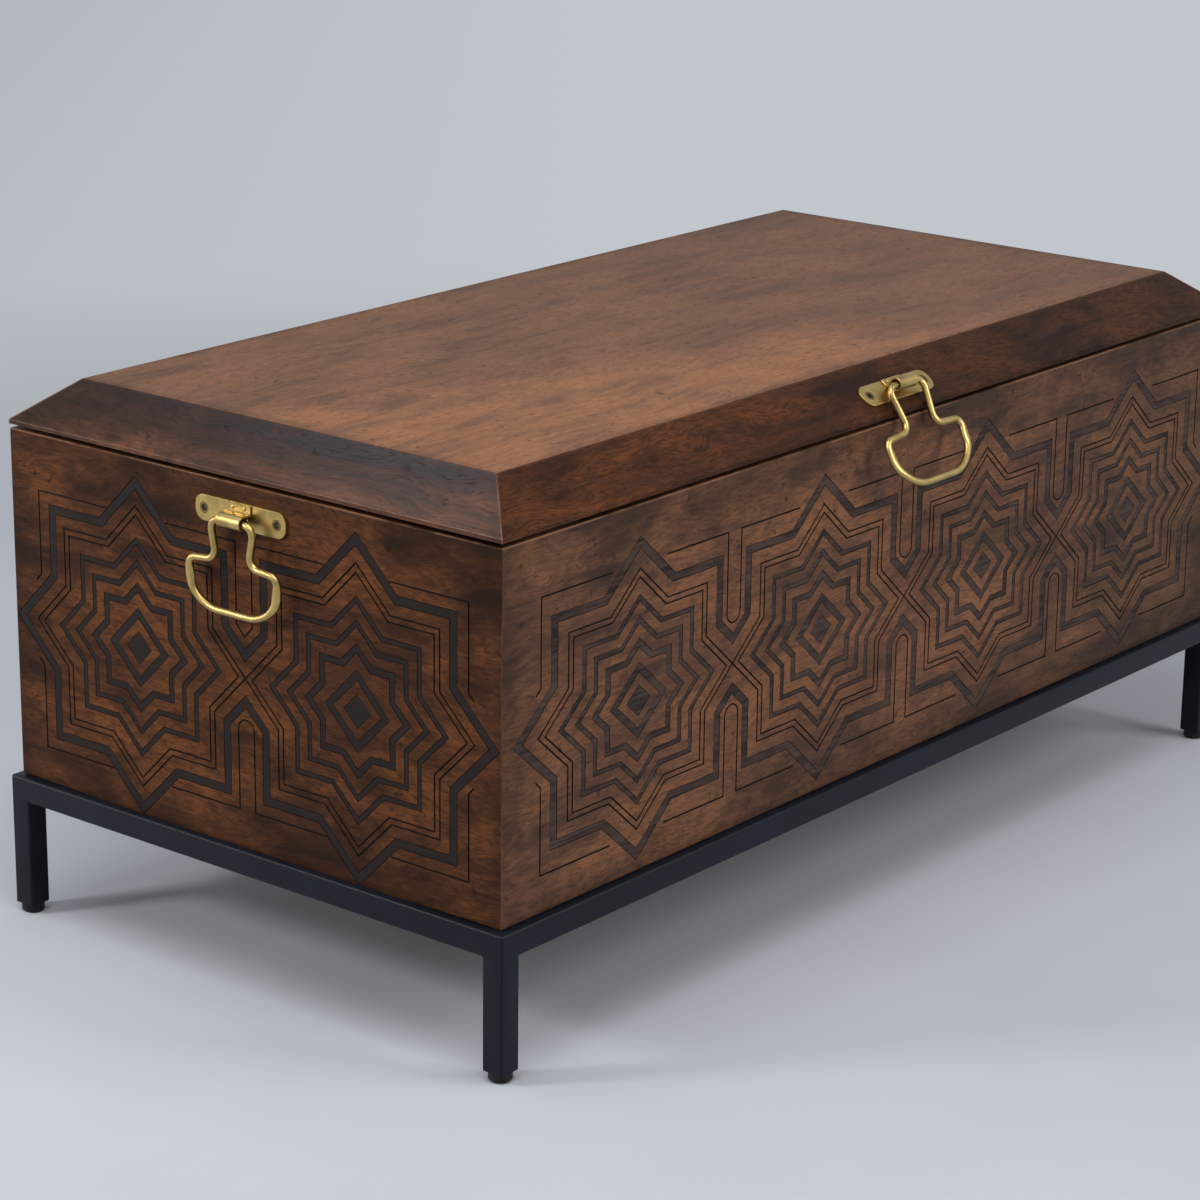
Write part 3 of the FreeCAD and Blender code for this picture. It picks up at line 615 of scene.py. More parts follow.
def rounded_rectangle(half_width: float, half_height: float, radius: float, steps: int) -> list[Point]:
    """Draw a rectangle about the origin with rounded corners.

    Args:
        half_width: Half its width.
        half_height: Half its height.
        radius: The radius of its corners.
        steps: The steps of each corner.

    Returns:
        Its points.
    """
    points = []
    for corner, (sign_x, sign_y) in enumerate(((1, 1), (-1, 1), (-1, -1), (1, -1))):
        for k in range(steps + 1):
            turn = 0.5 * math.pi * (corner + k / steps)
            points.append((sign_x * (half_width - radius) + radius * math.cos(turn),
                           sign_y * (half_height - radius) + radius * math.sin(turn)))
    return points


def offset(points: Sequence[Point], distance: float, closed: bool) -> list[Point]:
    """Move a line sideways to its left, with mitred corners.

    Args:
        points: The line.
        distance: How far it moves.
        closed: Whether its end joins its start.

    Returns:
        The moved line.
    """
    moved = []
    count = len(points)
    for k, (x, y) in enumerate(points):
        before = points[k - 1] if closed or k > 0 else None
        after = points[(k + 1) % count] if closed or k < count - 1 else None
        ways = []
        for start, end in ((before, (x, y)), ((x, y), after)):
            if start and end:
                length = math.dist(start, end)
                ways.append(((start[1] - end[1]) / length, (end[0] - start[0]) / length))
        side = (sum(way[0] for way in ways), sum(way[1] for way in ways))
        stretch = distance * len(ways) / (side[0] ** 2 + side[1] ** 2)
        moved.append((x + side[0] * stretch, y + side[1] * stretch))
    return moved


def strip(points: Sequence[Point], width: float) -> list[Point]:
    """Return the outline of a line of some width along open points."""
    return offset(points, 0.5 * width, False) + offset(points, -0.5 * width, False)[::-1]


def holds(loop: Sequence[Point], x: float, y: float) -> bool:
    """Test a place.

    Args:
        loop: A closed line.
        x: The place's first coordinate.
        y: Its second one.

    Returns:
        Whether the line goes round it.
    """
    inside = False
    for (x0, y0), (x1, y1) in zip(loop, (*loop[1:], loop[0])):
        if (y0 > y) != (y1 > y) and x < x0 + (y - y0) * (x1 - x0) / (y1 - y0):
            inside = not inside
    return inside


def fillet(points: Sequence[Point], radii: Sequence[float], step: float) -> list[Point]:
    """Round the inner corners of an open line.

    Args:
        points: The line's corners, with its two ends.
        radii: A radius for each corner between the ends.
        step: The largest turn between two returned points, in radians.

    Returns:
        Points along the rounded line.
    """
    path = [Vector(points[0])]
    for k, radius in enumerate(radii, 1):
        before, corner, after = (Vector(points[j]) for j in (k - 1, k, k + 1))
        back, on = (before - corner).normalized(), (after - corner).normalized()
        half = 0.5 * back.angle(on)
        centre = corner + (back + on).normalized() * (radius / math.sin(half))
        start = corner + back * (radius / math.tan(half)) - centre
        turn = math.copysign(math.pi - 2.0 * half, (corner - before).cross(after - corner))
        count = max(2, math.ceil(abs(turn) / step))
        for j in range(count + 1):
            path.append(centre + Matrix.Rotation(turn * j / count, 2) @ start)
    path.append(Vector(points[-1]))
    return [(point.x, point.y) for point in path]


class Side(Enum):
    """A side of the trunk: the way along it, seen from outside, and the way out of it."""

    FRONT = ((1, 0, 0), (0, -1, 0))
    BACK = ((-1, 0, 0), (0, 1, 0))
    LEFT = ((0, -1, 0), (-1, 0, 0))
    RIGHT = ((0, 1, 0), (1, 0, 0))

    @property
    def word(self) -> str:
        """The side's word in the names of nodes."""
        return self.name.lower()

    @property
    def short(self) -> bool:
        """Whether it is one of the trunk's two ends."""
        return not self.along.x

    @property
    def along(self) -> Vector:
        """The way along the side, to the right as seen from outside."""
        return Vector(self.value[0])

    @property
    def outward(self) -> Vector:
        """The way out of the side."""
        return Vector(self.value[1])

    @property
    def grain(self) -> Grain:
        """The axis of boards that run along the side."""
        return Grain.ALONG_Y if self.short else Grain.ALONG_X

    def seat(self, origin: Vector, lean: float = 0.0) -> Matrix:
        """Return the matrix from lengths along, up and out of the side to the model's frame.

        Args:
            origin: The place of the own origin.
            lean: How far the upward way tips back into the trunk, in radians.

        Returns:
            The matrix.
        """
        rise, out = Vector((0.0, 0.0, 1.0)), self.outward
        up = rise * math.cos(lean) - out * math.sin(lean)
        face = out * math.cos(lean) + rise * math.sin(lean)
        return Matrix.Translation(origin) @ Matrix((self.along, up, face)).transposed().to_4x4()

    def foot(self, node: str) -> tuple[Vector, float, float]:
        """Measure a node from outside.

        Args:
            node: The node.

        Returns:
            The lower middle of its outer face, half its length and its height.
        """
        middle, half = middle_and_half(node)
        reach = Vector(abs(part) for part in self.outward).dot(half)
        origin = middle + self.outward * reach - Vector((0.0, 0.0, half.z))
        return origin, abs(self.along.dot(half)), 2.0 * half.z


class SlotEnd(Enum):
    """How the upper thin line turns round between two stars."""

    POINTED = 1
    ROUND = 8


class Gauge(Enum):
    """The shape that a band of the star pattern follows: its corners' radii in turn, for a half width of 1."""

    STAR = (SQRT2, 1.0 / math.cos(math.pi / 8.0)) * 8
    DIAMOND = (1.0, 1.0, 1.0, 1.0)


@dataclass(frozen=True)
class Band:
    """A dark band or a thin cut line round a star, as shares of the star's half width."""

    inner: float
    outer: float
    gauge: Gauge = Gauge.STAR
    inlaid: bool = True


@dataclass
class StarPanel:
    """A side panel of the trunk with a row of inlaid eight-point stars, mitred at its ends."""

    node: str
    side: Side
    star_places: tuple[float, ...]
    star_width: float
    star_height: float
    slot_end: SlotEnd
    star_level: float = 139.5 * MM
    thickness: float = 20.0 * MM
    arris: float = 1.3 * MM
    inlay_depth: float = 0.15 * MM
    cut_depth: float = 0.7 * MM
    cut_share: float = 0.0055
    line_width: float = 1.5 * MM
    slot_half: float = 8.5 * MM
    slot_tip: float = 34.0 * MM
    border_half_height: float = 109.0 * MM
    border_out: float = 1.11
    border_gap: float = 33.0 * MM
    tick_height: float = 39.0 * MM
    tick: float = 5.5 * MM
    thin_share: float = 0.0075
    thin_gap: float = 0.053

    def bands(self) -> list[Band]:
        """Work out the bands of one star.

        Returns:
            The bands from the outside in; the outer thin line just meets its neighbour's between two stars.
        """
        spacing = self.star_places[1] - self.star_places[0]
        meeting = 0.5 * spacing / (SQRT2 * self.star_width)
        lines = [Band(middle - self.thin_share, middle + self.thin_share, inlaid=False)
                 for middle in (meeting, meeting - self.thin_gap)]
        return [Band(0.922, 1.0), *lines, Band(0.603, 0.65), Band(0.472, 0.518), Band(0.326, 0.386),
                Band(0.24, 0.335, Gauge.DIAMOND), Band(0.0, 0.14, Gauge.DIAMOND)]

    def outline(self, gauge: Gauge, place: float, level: float) -> list[Point]:
        """Draw a star or a diamond.

        Args:
            gauge: Which of them.
            place: Where its middle lies along the panel.
            level: Its size, as a share of the outer star's.

        Returns:
            Its corners.
        """
        points = []
        for k, radius in enumerate(gauge.value):
            turn = 2.0 * math.pi * k / len(gauge.value)
            points.append((place + self.star_width * level * radius * math.cos(turn),
                           self.star_level + self.star_height * level * radius * math.sin(turn)))
        return points

    def border_lines(self) -> list[list[Point]]:
        """Draw the thin lines that frame the row of stars.

        Returns:
            The open lines.
        """
        lines = []
        outer = self.border_out * self.star_width
        for way in (1.0, -1.0):
            level = self.star_level + way * self.border_half_height
            tick_level = self.star_level + way * self.tick_height
            for sign, place in ((-1.0, self.star_places[0]), (1.0, self.star_places[-1])):
                edge = place + sign * outer
                lines.append([(edge + sign * self.tick, tick_level - way * self.tick), (edge, tick_level),
                              (edge, level), (place + sign * self.border_gap, level)])
            for left, right in zip(self.star_places, self.star_places[1:]):
                middle = 0.5 * (left + right)
                steps = self.slot_end.value if way > 0.0 else SlotEnd.ROUND.value
                line = [(left + self.border_gap, level), (middle - self.slot_half, level)]
                for k in range(2 * steps + 1):
                    turn = math.pi * (1.0 - 0.5 * k / steps)
                    line.append((middle + self.slot_half * math.cos(turn), self.star_level + way * (
                        self.slot_tip + self.slot_half * (1.0 - math.sin(turn)))))
                line += [(middle + self.slot_half, level), (right - self.border_gap, level)]
                lines.append(line)
        return lines

    def build(self, finishes: Sequence[bpy.types.Material]) -> bpy.types.Object:
        """Shape the panel.

        Args:
            finishes: Its wood, inlay, cut line and inner wood.

        Returns:
            The panel.
        """
        origin, half, height = self.side.foot(self.node)
        draft = Draft(self.side.seat(origin))
        inlay, cut = Layer(self.inlay_depth, 1), Layer(self.cut_depth, 2)
        strips = [strip(line, self.line_width) for line in self.border_lines()]
        loops = list(strips)
        bands = self.bands()
        for band in bands:
            levels = [band.inner, band.outer]
            if band.inlaid:
                levels += [band.inner + self.cut_share, band.outer - self.cut_share]
            loops += [self.outline(band.gauge, place, level) for level in levels if level > self.cut_share
                      for place in self.star_places]

        def layer_at(u: float, v: float) -> Layer:
            """Find the layer at a place on the panel's face.

            Args:
                u: How far along it is.
                v: How high up it is.

            Returns:
                The layer.
            """
            y = abs(v - self.star_level) / self.star_height
            shares = []
            for place in self.star_places:
                x = abs(u - place) / self.star_width
                shares.append((min(max(x, y), (x + y) / SQRT2), x + y))
            star, diamond = min(shares)
            for band in bands:
                share = star if band.gauge is Gauge.STAR else diamond
                if band.inner <= share <= band.outer:
                    rim = min(share - band.inner if band.inner else share + 1.0, band.outer - share)
                    return inlay if band.inlaid and rim > self.cut_share else cut
            return cut if any(holds(loop, u, v) for loop in strips) else FACE

        rings = [draft.relief(self.rectangle(half, height, 0.0), loops, layer_at)]
        for share in (0.08, 1.0 - math.sqrt(0.5), 0.6, 1.0, self.thickness / self.arris):
            sink = share * self.arris
            rings.append(draft.ring((u, v, -sink) for u, v in self.rectangle(half, height, sink)))
        draft.skin(rings)
        draft.cap(rings[-1], 3)
        return draft.piece(f"{self.node}_inlaid", finishes, CRISP)

    def rectangle(self, half: float, height: float, sink: float) -> list[Point]:
        """Draw the panel's rounded and mitred border at a depth below its face.

        Args:
            half: Half the panel's length.
            height: The panel's height.
            sink: The depth.

        Returns:
            The four corners.
        """
        round_off = self.arris - math.sqrt(max(0.0, self.arris ** 2 - (self.arris - min(sink, self.arris)) ** 2))
        u, v = half - max(round_off, sink), round_off
        return [(-u, v), (u, v), (u, height - v), (-u, height - v)]


@dataclass
class WeldedBase:
    """The steel base: four tube rails welded into a ring and ground flush with four legs."""

    tube: float = 20.0 * MM
    edge: float = 2.0 * MM
    weld: float = 4.0 * MM
    burr: float = 0.4 * MM
    steps: int = 8

    def build_ring(self, finish: bpy.types.Material) -> bpy.types.Object:
        """Shape the ring of rails.

        Args:
            finish: Its finish.

        Returns:
            The ring.
        """
        low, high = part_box("front_left_leg")[0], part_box("back_right_leg")[1]
        under, top = (corner.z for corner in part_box("front_rail"))
        half = 0.5 * (high - low)
        draft = Draft(Matrix.Translation((*(low + half).xy, 0.5 * (under + top))))
        rings = []
        for out, up in rounded_rectangle(0.5 * self.tube, 0.5 * (top - under), self.edge, self.steps):
            inset = 0.5 * self.tube - out
            radius = max(self.edge - inset, 0.1 * self.edge)
            plan = rounded_rectangle(half.x - inset, half.y - inset, radius, self.steps)
            rings.append(draft.ring((x, y, up) for x, y in plan))
        draft.skin([*rings, rings[0]])
        return draft.piece("base_rails_welded", [finish], CRISP)

    def build_leg(self, node: str, finish: bpy.types.Material) -> bpy.types.Object:
        """Shape a leg with its two weld fillets.

        Args:
            node: The leg's node.
            finish: Its finish.

        Returns:
            The leg.
        """
        low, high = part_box(node)
        way = (-1.0 if "left" in node else 1.0, -1.0 if "front" in node else 1.0)
        half = 0.5 * self.tube
        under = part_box("front_rail")[0].z
        middle = [(low if sign < 0.0 else high)[axis] - sign * half for axis, sign in enumerate(way)]
        draft = Draft(Matrix.Translation((*middle, 0.0)))
        levels = ((low.z, self.burr), (low.z + self.burr, 0.0), (under + self.edge, 0.0))
        draft.loft([(x, y, level) for x, y in rounded_rectangle(half - inset, half - inset, self.edge, self.steps)]
                   for level, inset in levels)
        turns = [math.radians(270.0 - 90.0 * k / self.steps) for k in range(self.steps + 1)]
        arc = [(self.weld * (1.0 + math.cos(turn)), self.weld * (1.0 + math.sin(turn))) for turn in turns]
        profile = [(-self.burr, -self.burr), (self.weld, -self.burr), *arc, (-self.burr, self.weld)]
        for axis, sign in enumerate(way):
            rings = []
            for across in (self.edge - half, half - self.edge):
                points = [[across, across, under - down] for _, down in profile]
                for point, (inward, _) in zip(points, profile):
                    point[axis] = -sign * (half + inward)
                rings.append(points)
            draft.loft(rings)
        return draft.piece(f"{node}_welded", [finish], CRISP)


@dataclass
class LidRail:
    """A chamfered rail of the lid, mitred at both ends."""

    node: str
    side: Side
    nosing: float = 4.0 * MM
    run: float = 43.0 * MM
    bed: float = 16.0 * MM
    width: float = 54.0 * MM
    ease: float = 0.9 * MM
    nose: float = 2.0 * MM
    mitre_ease: float = 0.25 * MM
    bend_step: float = 0.1
    crease: float = 2.5

    def build(self, finish: bpy.types.Material) -> bpy.types.Object:
        """Shape the rail.

        Args:
            finish: Its finish.

        Returns:
            The rail.
        """
        origin, half, height = self.side.foot(self.node)
        draft = Draft(self.side.seat(origin))
        start = (0.5 * self.width, 0.0)
        corners = [start, (0.0, 0.0), (0.0, self.nosing), (self.run, height), (self.run, height - self.bed),
                   (self.width, height - self.bed), (self.width, 0.0), start]
        radii = [0.5 * self.nose, self.nose, 0.5 * self.ease, *[0.1 * self.ease] * 3]
        section = fillet(corners, radii, self.bend_step)[:-1]
        eased = offset(section, self.mitre_ease, True)
        stations = ((-1.0, 0.0, eased), (-1.0, self.mitre_ease, section), (1.0, self.mitre_ease, section),
                    (1.0, 0.0, eased))
        draft.loft([(end * (half - inset - back), rise, -inset) for inset, rise in outline]
                   for end, back, outline in stations)
        return draft.piece(f"{self.node}_chamfered", [finish], self.crease)


@dataclass
class Plank:
    """A plank of the lid's flat top, which closes up to its neighbours with barely eased edges."""

    node: str
    ease: float = 0.3 * MM
    closing: float = 0.19 * MM

    def build(self, finish: bpy.types.Material) -> bpy.types.Object:
        """Shape the plank.

        Args:
            finish: Its finish.

        Returns:
            The plank.
        """
        middle, half = middle_and_half(self.node)
        draft = Draft(Matrix.Translation(middle))
        levels = [(-half.z, 0.0)]
        for down in (1.0, 0.3, 0.0):
            levels.append((half.z - down * self.ease, 1.0 - math.sqrt(1.0 - (1.0 - down) ** 2)))
        rings = []
        for level, sink in levels:
            x, y = half.x - sink * self.ease, half.y + self.closing - sink * self.ease
            rings.append([(-x, -y, level), (x, -y, level), (x, y, level), (-x, y, level)])
        draft.loft(rings)
        return draft.piece(f"{self.node}_plank", [finish], CRISP)


@dataclass(frozen=True)
class BailShape:
    """One half of a bail's middle line: corners in millimetres out from the middle and down from the pivot."""

    corners: tuple[Point, ...]
    flat_middle: float
    bends: tuple[float, ...] = (8.0, 9.0, 9.0, 18.0, 38.0)
    bend_step: float = math.radians(6.0)

    @property
    def drop(self) -> float:
        """The drop from the pivot to the lowest middle line, in metres."""
        return self.corners[-1][1] * MM

    def path(self) -> list[Point]:
        """Draw the whole middle line.

        Returns:
            Its points, as metres along the barrel and down from it.
        """
        right = [(along * MM, down * MM) for along, down in self.corners]
        left = [(-along, down) for along, down in right]
        radii = [radius * MM for radius in (*self.bends, *reversed(self.bends))]
        return fillet(left + right[::-1], radii, self.bend_step)


END_BAIL = BailShape(((4.5, 0.0), (23.5, 0.0), (17.0, 32.5), (47.6, 35.0), (47.6, 57.0), (30.0, 73.0)), 51.0)
FRONT_BAIL = BailShape(((4.5, 0.0), (25.0, 0.0), (18.5, 39.5), (54.0, 41.5), (54.0, 64.0), (33.0, 83.0)), 57.0)


@dataclass(frozen=True)
class SlottedScrew:
    """A cross-slotted screw, sunk into a handle's plate: radii and depths below the plate's face."""

    head: float = 4.25 * MM
    head_ease: float = 0.25 * MM
    head_edge: float = 0.6 * MM
    crown: float = 3.1 * MM
    blade: float = 2.6 * MM
    slot_half: float = 0.55 * MM
    slot_depth: float = 1.1 * MM
    shank: float = 1.9 * MM
    shank_from: float = 2.8 * MM
    shank_to: float = 12.0 * MM
    tip: float = 0.3 * MM
    tip_depth: float = 15.0 * MM
    sides: int = 32

    def disc(self, radius: float) -> list[Point]:
        """Return a circle round the screw's axis."""
        return circle((0.0, 0.0), radius, self.sides)

    def add(self, draft: Draft) -> None:
        """Add the screw.

        Args:
            draft: Where it goes, seated on the plate's face.
        """
        arm = [(self.blade, -self.slot_half), (self.blade, self.slot_half), (self.slot_half, self.slot_half)]
        cross = []
        for _ in range(4):
            cross += arm
            arm = [(-y, x) for x, y in arm]
        sunk, rim = Layer(self.slot_depth, 1), Layer(0.0, 2)

        def layer_at(u: float, v: float) -> Layer:
            """Return the layer at a place on the head."""
            return sunk if holds(cross, u, v) else FACE if math.hypot(u, v) < self.crown else rim

        rings = [draft.relief(self.disc(self.head - self.head_ease), [self.disc(self.crown), cross], layer_at)]
        stem = ((self.head, self.head_ease), (self.head, self.head_edge), (self.shank, self.shank_from),
                (self.shank, self.shank_to), (self.tip, self.tip_depth))
        for radius, depth in stem:
            rings.append(draft.ring((u, v, -depth) for u, v in self.disc(radius)))
        draft.skin(rings)
        draft.cap(rings[-1])


@dataclass
class DropHandle:
    """A brass drop handle: a back plate, a rolled barrel riveted to it and a bent bail."""

    name: str
    side: Side
    bail: BailShape = END_BAIL
    lean: float = 0.0
    plate_length: float = 96.0 * MM
    plate_height: float = 21.0 * MM
    plate_thickness: float = 2.5 * MM
    plate_corner: float = 9.0 * MM
    plate_ease: float = 0.7 * MM
    screw_place: float = 38.5 * MM
    seat_radius: float = 4.5 * MM
    seat_depth: float = 0.9 * MM
    barrel_length: float = 25.0 * MM
    barrel_radius: float = 5.8 * MM
    barrel_below: float = 2.1 * MM
    strap: float = 1.6 * MM
    roll: float = math.radians(300.0)
    roll_steps: int = 30
    barrel_ease: float = 0.35 * MM
    axis_out: float = 11.5 * MM
    axis_below: float = 3.0 * MM
    strap_foot: float = 8.0 * MM
    rivet_place: float = 6.0 * MM
    rivet_radius: float = 1.8 * MM
    wire: float = 3.0 * MM
    flat_half: float = 4.6 * MM
    flat_thin: float = 2.4 * MM
    flat_length: float = 17.0 * MM
    crease: float = 5.0
    wire_crease: float = 40.0

    def node(self, part: str) -> str:
        """Return the name of one of the handle's nodes."""
        return f"{self.name}_handle_{part}"

    def seat(self) -> Matrix:
        """Return the matrix from the plate's own axes to the model's frame."""
        seat = self.side.seat(middle_and_half(self.node("plate"))[0], self.lean)
        return seat @ Matrix.Translation((0.0, 0.0, -0.5 * self.plate_thickness))

    def build_plate(self, finishes: Sequence[bpy.types.Material]) -> bpy.types.Object:
        """Shape the back plate with its two countersunk seats.

        Args:
            finishes: Its brass and that of the seats.

        Returns:
            The plate.
        """
        draft = Draft(self.seat() @ Matrix.Translation((0.0, 0.0, self.plate_thickness)))
        half = (0.5 * self.plate_length, 0.5 * self.plate_height)
        seats = [circle((sign * self.screw_place, 0.0), self.seat_radius, 32) for sign in (-1.0, 1.0)]
        sunk = Layer(self.seat_depth, 1)

        def outline(inset: float) -> list[Point]:
            """Return the plate's outline, drawn in by a little."""
            return rounded_rectangle(half[0] - inset, half[1] - inset, self.plate_corner - inset, 8)

        def layer_at(u: float, v: float) -> Layer:
            """Return the layer at a place on the plate."""
            return sunk if any(holds(loop, u, v) for loop in seats) else FACE

        rings = [draft.relief(outline(self.plate_ease), seats, layer_at)]
        for inset, sink in ((0.3, 0.08), (0.08, 0.3), (0.0, 1.0)):
            rings.append(draft.ring((u, v, -sink * self.plate_ease) for u, v in outline(inset * self.plate_ease)))
        rings.append(draft.ring((u, v, -self.plate_thickness) for u, v in outline(0.0)))
        draft.skin(rings)
        draft.cap(rings[-1])
        return draft.piece(self.node("backplate"), finishes, self.crease)

    def strap_section(self) -> list[Point]:
        """Draw the strap's outline across the barrel.

        Returns:
            Its points, as lengths out of the plate and up it.
        """
        out, level = self.axis_out, -self.barrel_below
        bore = self.barrel_radius - self.strap
        top = level + self.barrel_radius
        plate = self.plate_thickness
        tip = top - self.strap + self.strap_foot
        points = [(plate, tip), (plate + self.strap, tip), (plate + self.strap, top + 0.6 * self.strap),
                  (plate + 1.6 * self.strap, top)]
        turns = [0.5 * math.pi - self.roll * k / self.roll_steps for k in range(self.roll_steps + 1)]
        for radius, way in ((self.barrel_radius, turns), (bore, reversed(turns))):
            points += [(out + radius * math.cos(turn), level + radius * math.sin(turn)) for turn in way]
        return [*points, (plate, top - self.strap)]

    def build_barrel(self, finish: bpy.types.Material) -> bpy.types.Object:
        """Shape the rolled barrel with its riveted foot.

        Args:
            finish: Its finish.

        Returns:
            The barrel.
        """
        draft = Draft(self.seat())
        section = self.strap_section()
        drawn_in = offset(section, -self.barrel_ease, True)
        end = 0.5 * self.barrel_length
        inner = end - self.barrel_ease
        draft.loft([(u, up, out) for out, up in outline]
                   for u, outline in ((-end, drawn_in), (-inner, section), (inner, section), (end, drawn_in)))
        base = self.plate_thickness + 0.8 * self.strap
        level = self.barrel_radius - self.barrel_below + 0.5 * (self.strap_foot - self.strap)
        dome = ((1.0, 0.0), (1.0, 0.5), (0.88, 0.85), (0.55, 1.2), (0.15, 1.35))
        for middle in ((-self.rivet_place, level), (self.rivet_place, level)):
            draft.loft([(u, v, base + rise * MM) for u, v in circle(middle, share * self.rivet_radius, 20)]
                       for share, rise in dome)
        return draft.piece(self.node("barrel"), [finish])

    def build_bail(self, finish: bpy.types.Material) -> bpy.types.Object:
        """Shape the bail, round in the wire and hammered flat where the fingers close.

        Args:
            finish: Its finish.

        Returns:
            The bail.
        """
        pivot = self.seat() @ Vector((0.0, -self.axis_below, self.axis_out))
        reach = max((corner - pivot).dot(self.side.outward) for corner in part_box(self.node("bail"))) - self.wire
        draft = Draft(self.side.seat(pivot, math.asin(max(0.0, reach) / self.bail.drop)))
        path = [Vector((along, -down, 0.0)) for along, down in self.bail.path()]
        out = Vector((0.0, 0.0, 1.0))
        loop = circle((0.0, 0.0), 1.0, 20)
        rings = []
        for k, point in enumerate(path):
            way = (path[min(k + 1, len(path) - 1)] - path[max(k - 1, 0)]).normalized()
            inward = out.cross(way)
            near = max(0.0, 1.0 - abs(-point.y - self.bail.flat_middle * MM) / self.flat_length)
            flat = near * near * (3.0 - 2.0 * near)
            wide = self.wire + flat * (self.flat_half - self.wire)
            thick = self.wire + flat * (self.flat_thin - self.wire)
            middle = point + inward * (wide - self.wire)
            rings.append([middle + inward * (wide * a) + out * (thick * b) for a, b in loop])
        draft.loft(rings)
        return draft.piece(self.node("bail_bent"), [finish], self.wire_crease)

    def add_screws(self, draft: Draft) -> None:
        """Add the plate's two screws.

        Args:
            draft: Where they go.
        """
        for sign in (-1.0, 1.0):
            place = Matrix.Translation((sign * self.screw_place, 0.0, self.plate_thickness))
            draft.seat = self.seat() @ place @ Matrix.Rotation(0.5 + sign, 4, "Z")
            SlottedScrew().add(draft)


@dataclass(frozen=True)
class SoftLight:
    """A rectangular soft light: where it hangs, what it points at, its size and its power in watts."""

    name: str
    place: Point3
    target: Point3
    size: Point
    power: float
    colour: Colour = (1.0, 0.99, 0.97)

    def hang(self) -> None:
        """Hang the light in the studio."""
        data = bpy.data.lights.new(self.name, "AREA")
        data.shape = "RECTANGLE"
        data.size, data.size_y = self.size
        data.energy = self.power
        data.color = self.colour
        light = bpy.data.objects.new(self.name, data)
        light.location = self.place
        light.rotation_euler = (Vector(self.target) - Vector(self.place)).to_track_quat("-Z", "Y").to_euler()
        bpy.context.scene.collection.objects.link(light)


SOFT_LIGHTS = (
    SoftLight("overhead_softbox", (-0.9, -0.4, 2.3), (-0.2, 0.0, 0.4), (1.6, 1.6), 31.0),
    SoftLight("front_softbox", (1.1, -2.7, 2.0), (0.0, -0.2, 0.3), (1.7, 1.4), 40.0),
    SoftLight("low_front_softbox", (0.8, -3.3, 0.85), (0.0, -0.25, 0.35), (0.4, 0.4), 17.0),
    SoftLight("end_softbox", (-2.5, 1.5, 1.7), (-0.5, 0.0, 0.3), (0.5, 0.5), 34.0),
    SoftLight("low_softbox", (-2.0, 2.5, 0.7), (-0.3, 0.1, 0.1), (1.6, 1.0), 24.0),
    SoftLight("back_softbox", (-0.55, 1.3, 2.15), (-0.5, -0.2, 0.44), (0.6, 0.4), 2.4, (0.78, 0.89, 1.0)),
)


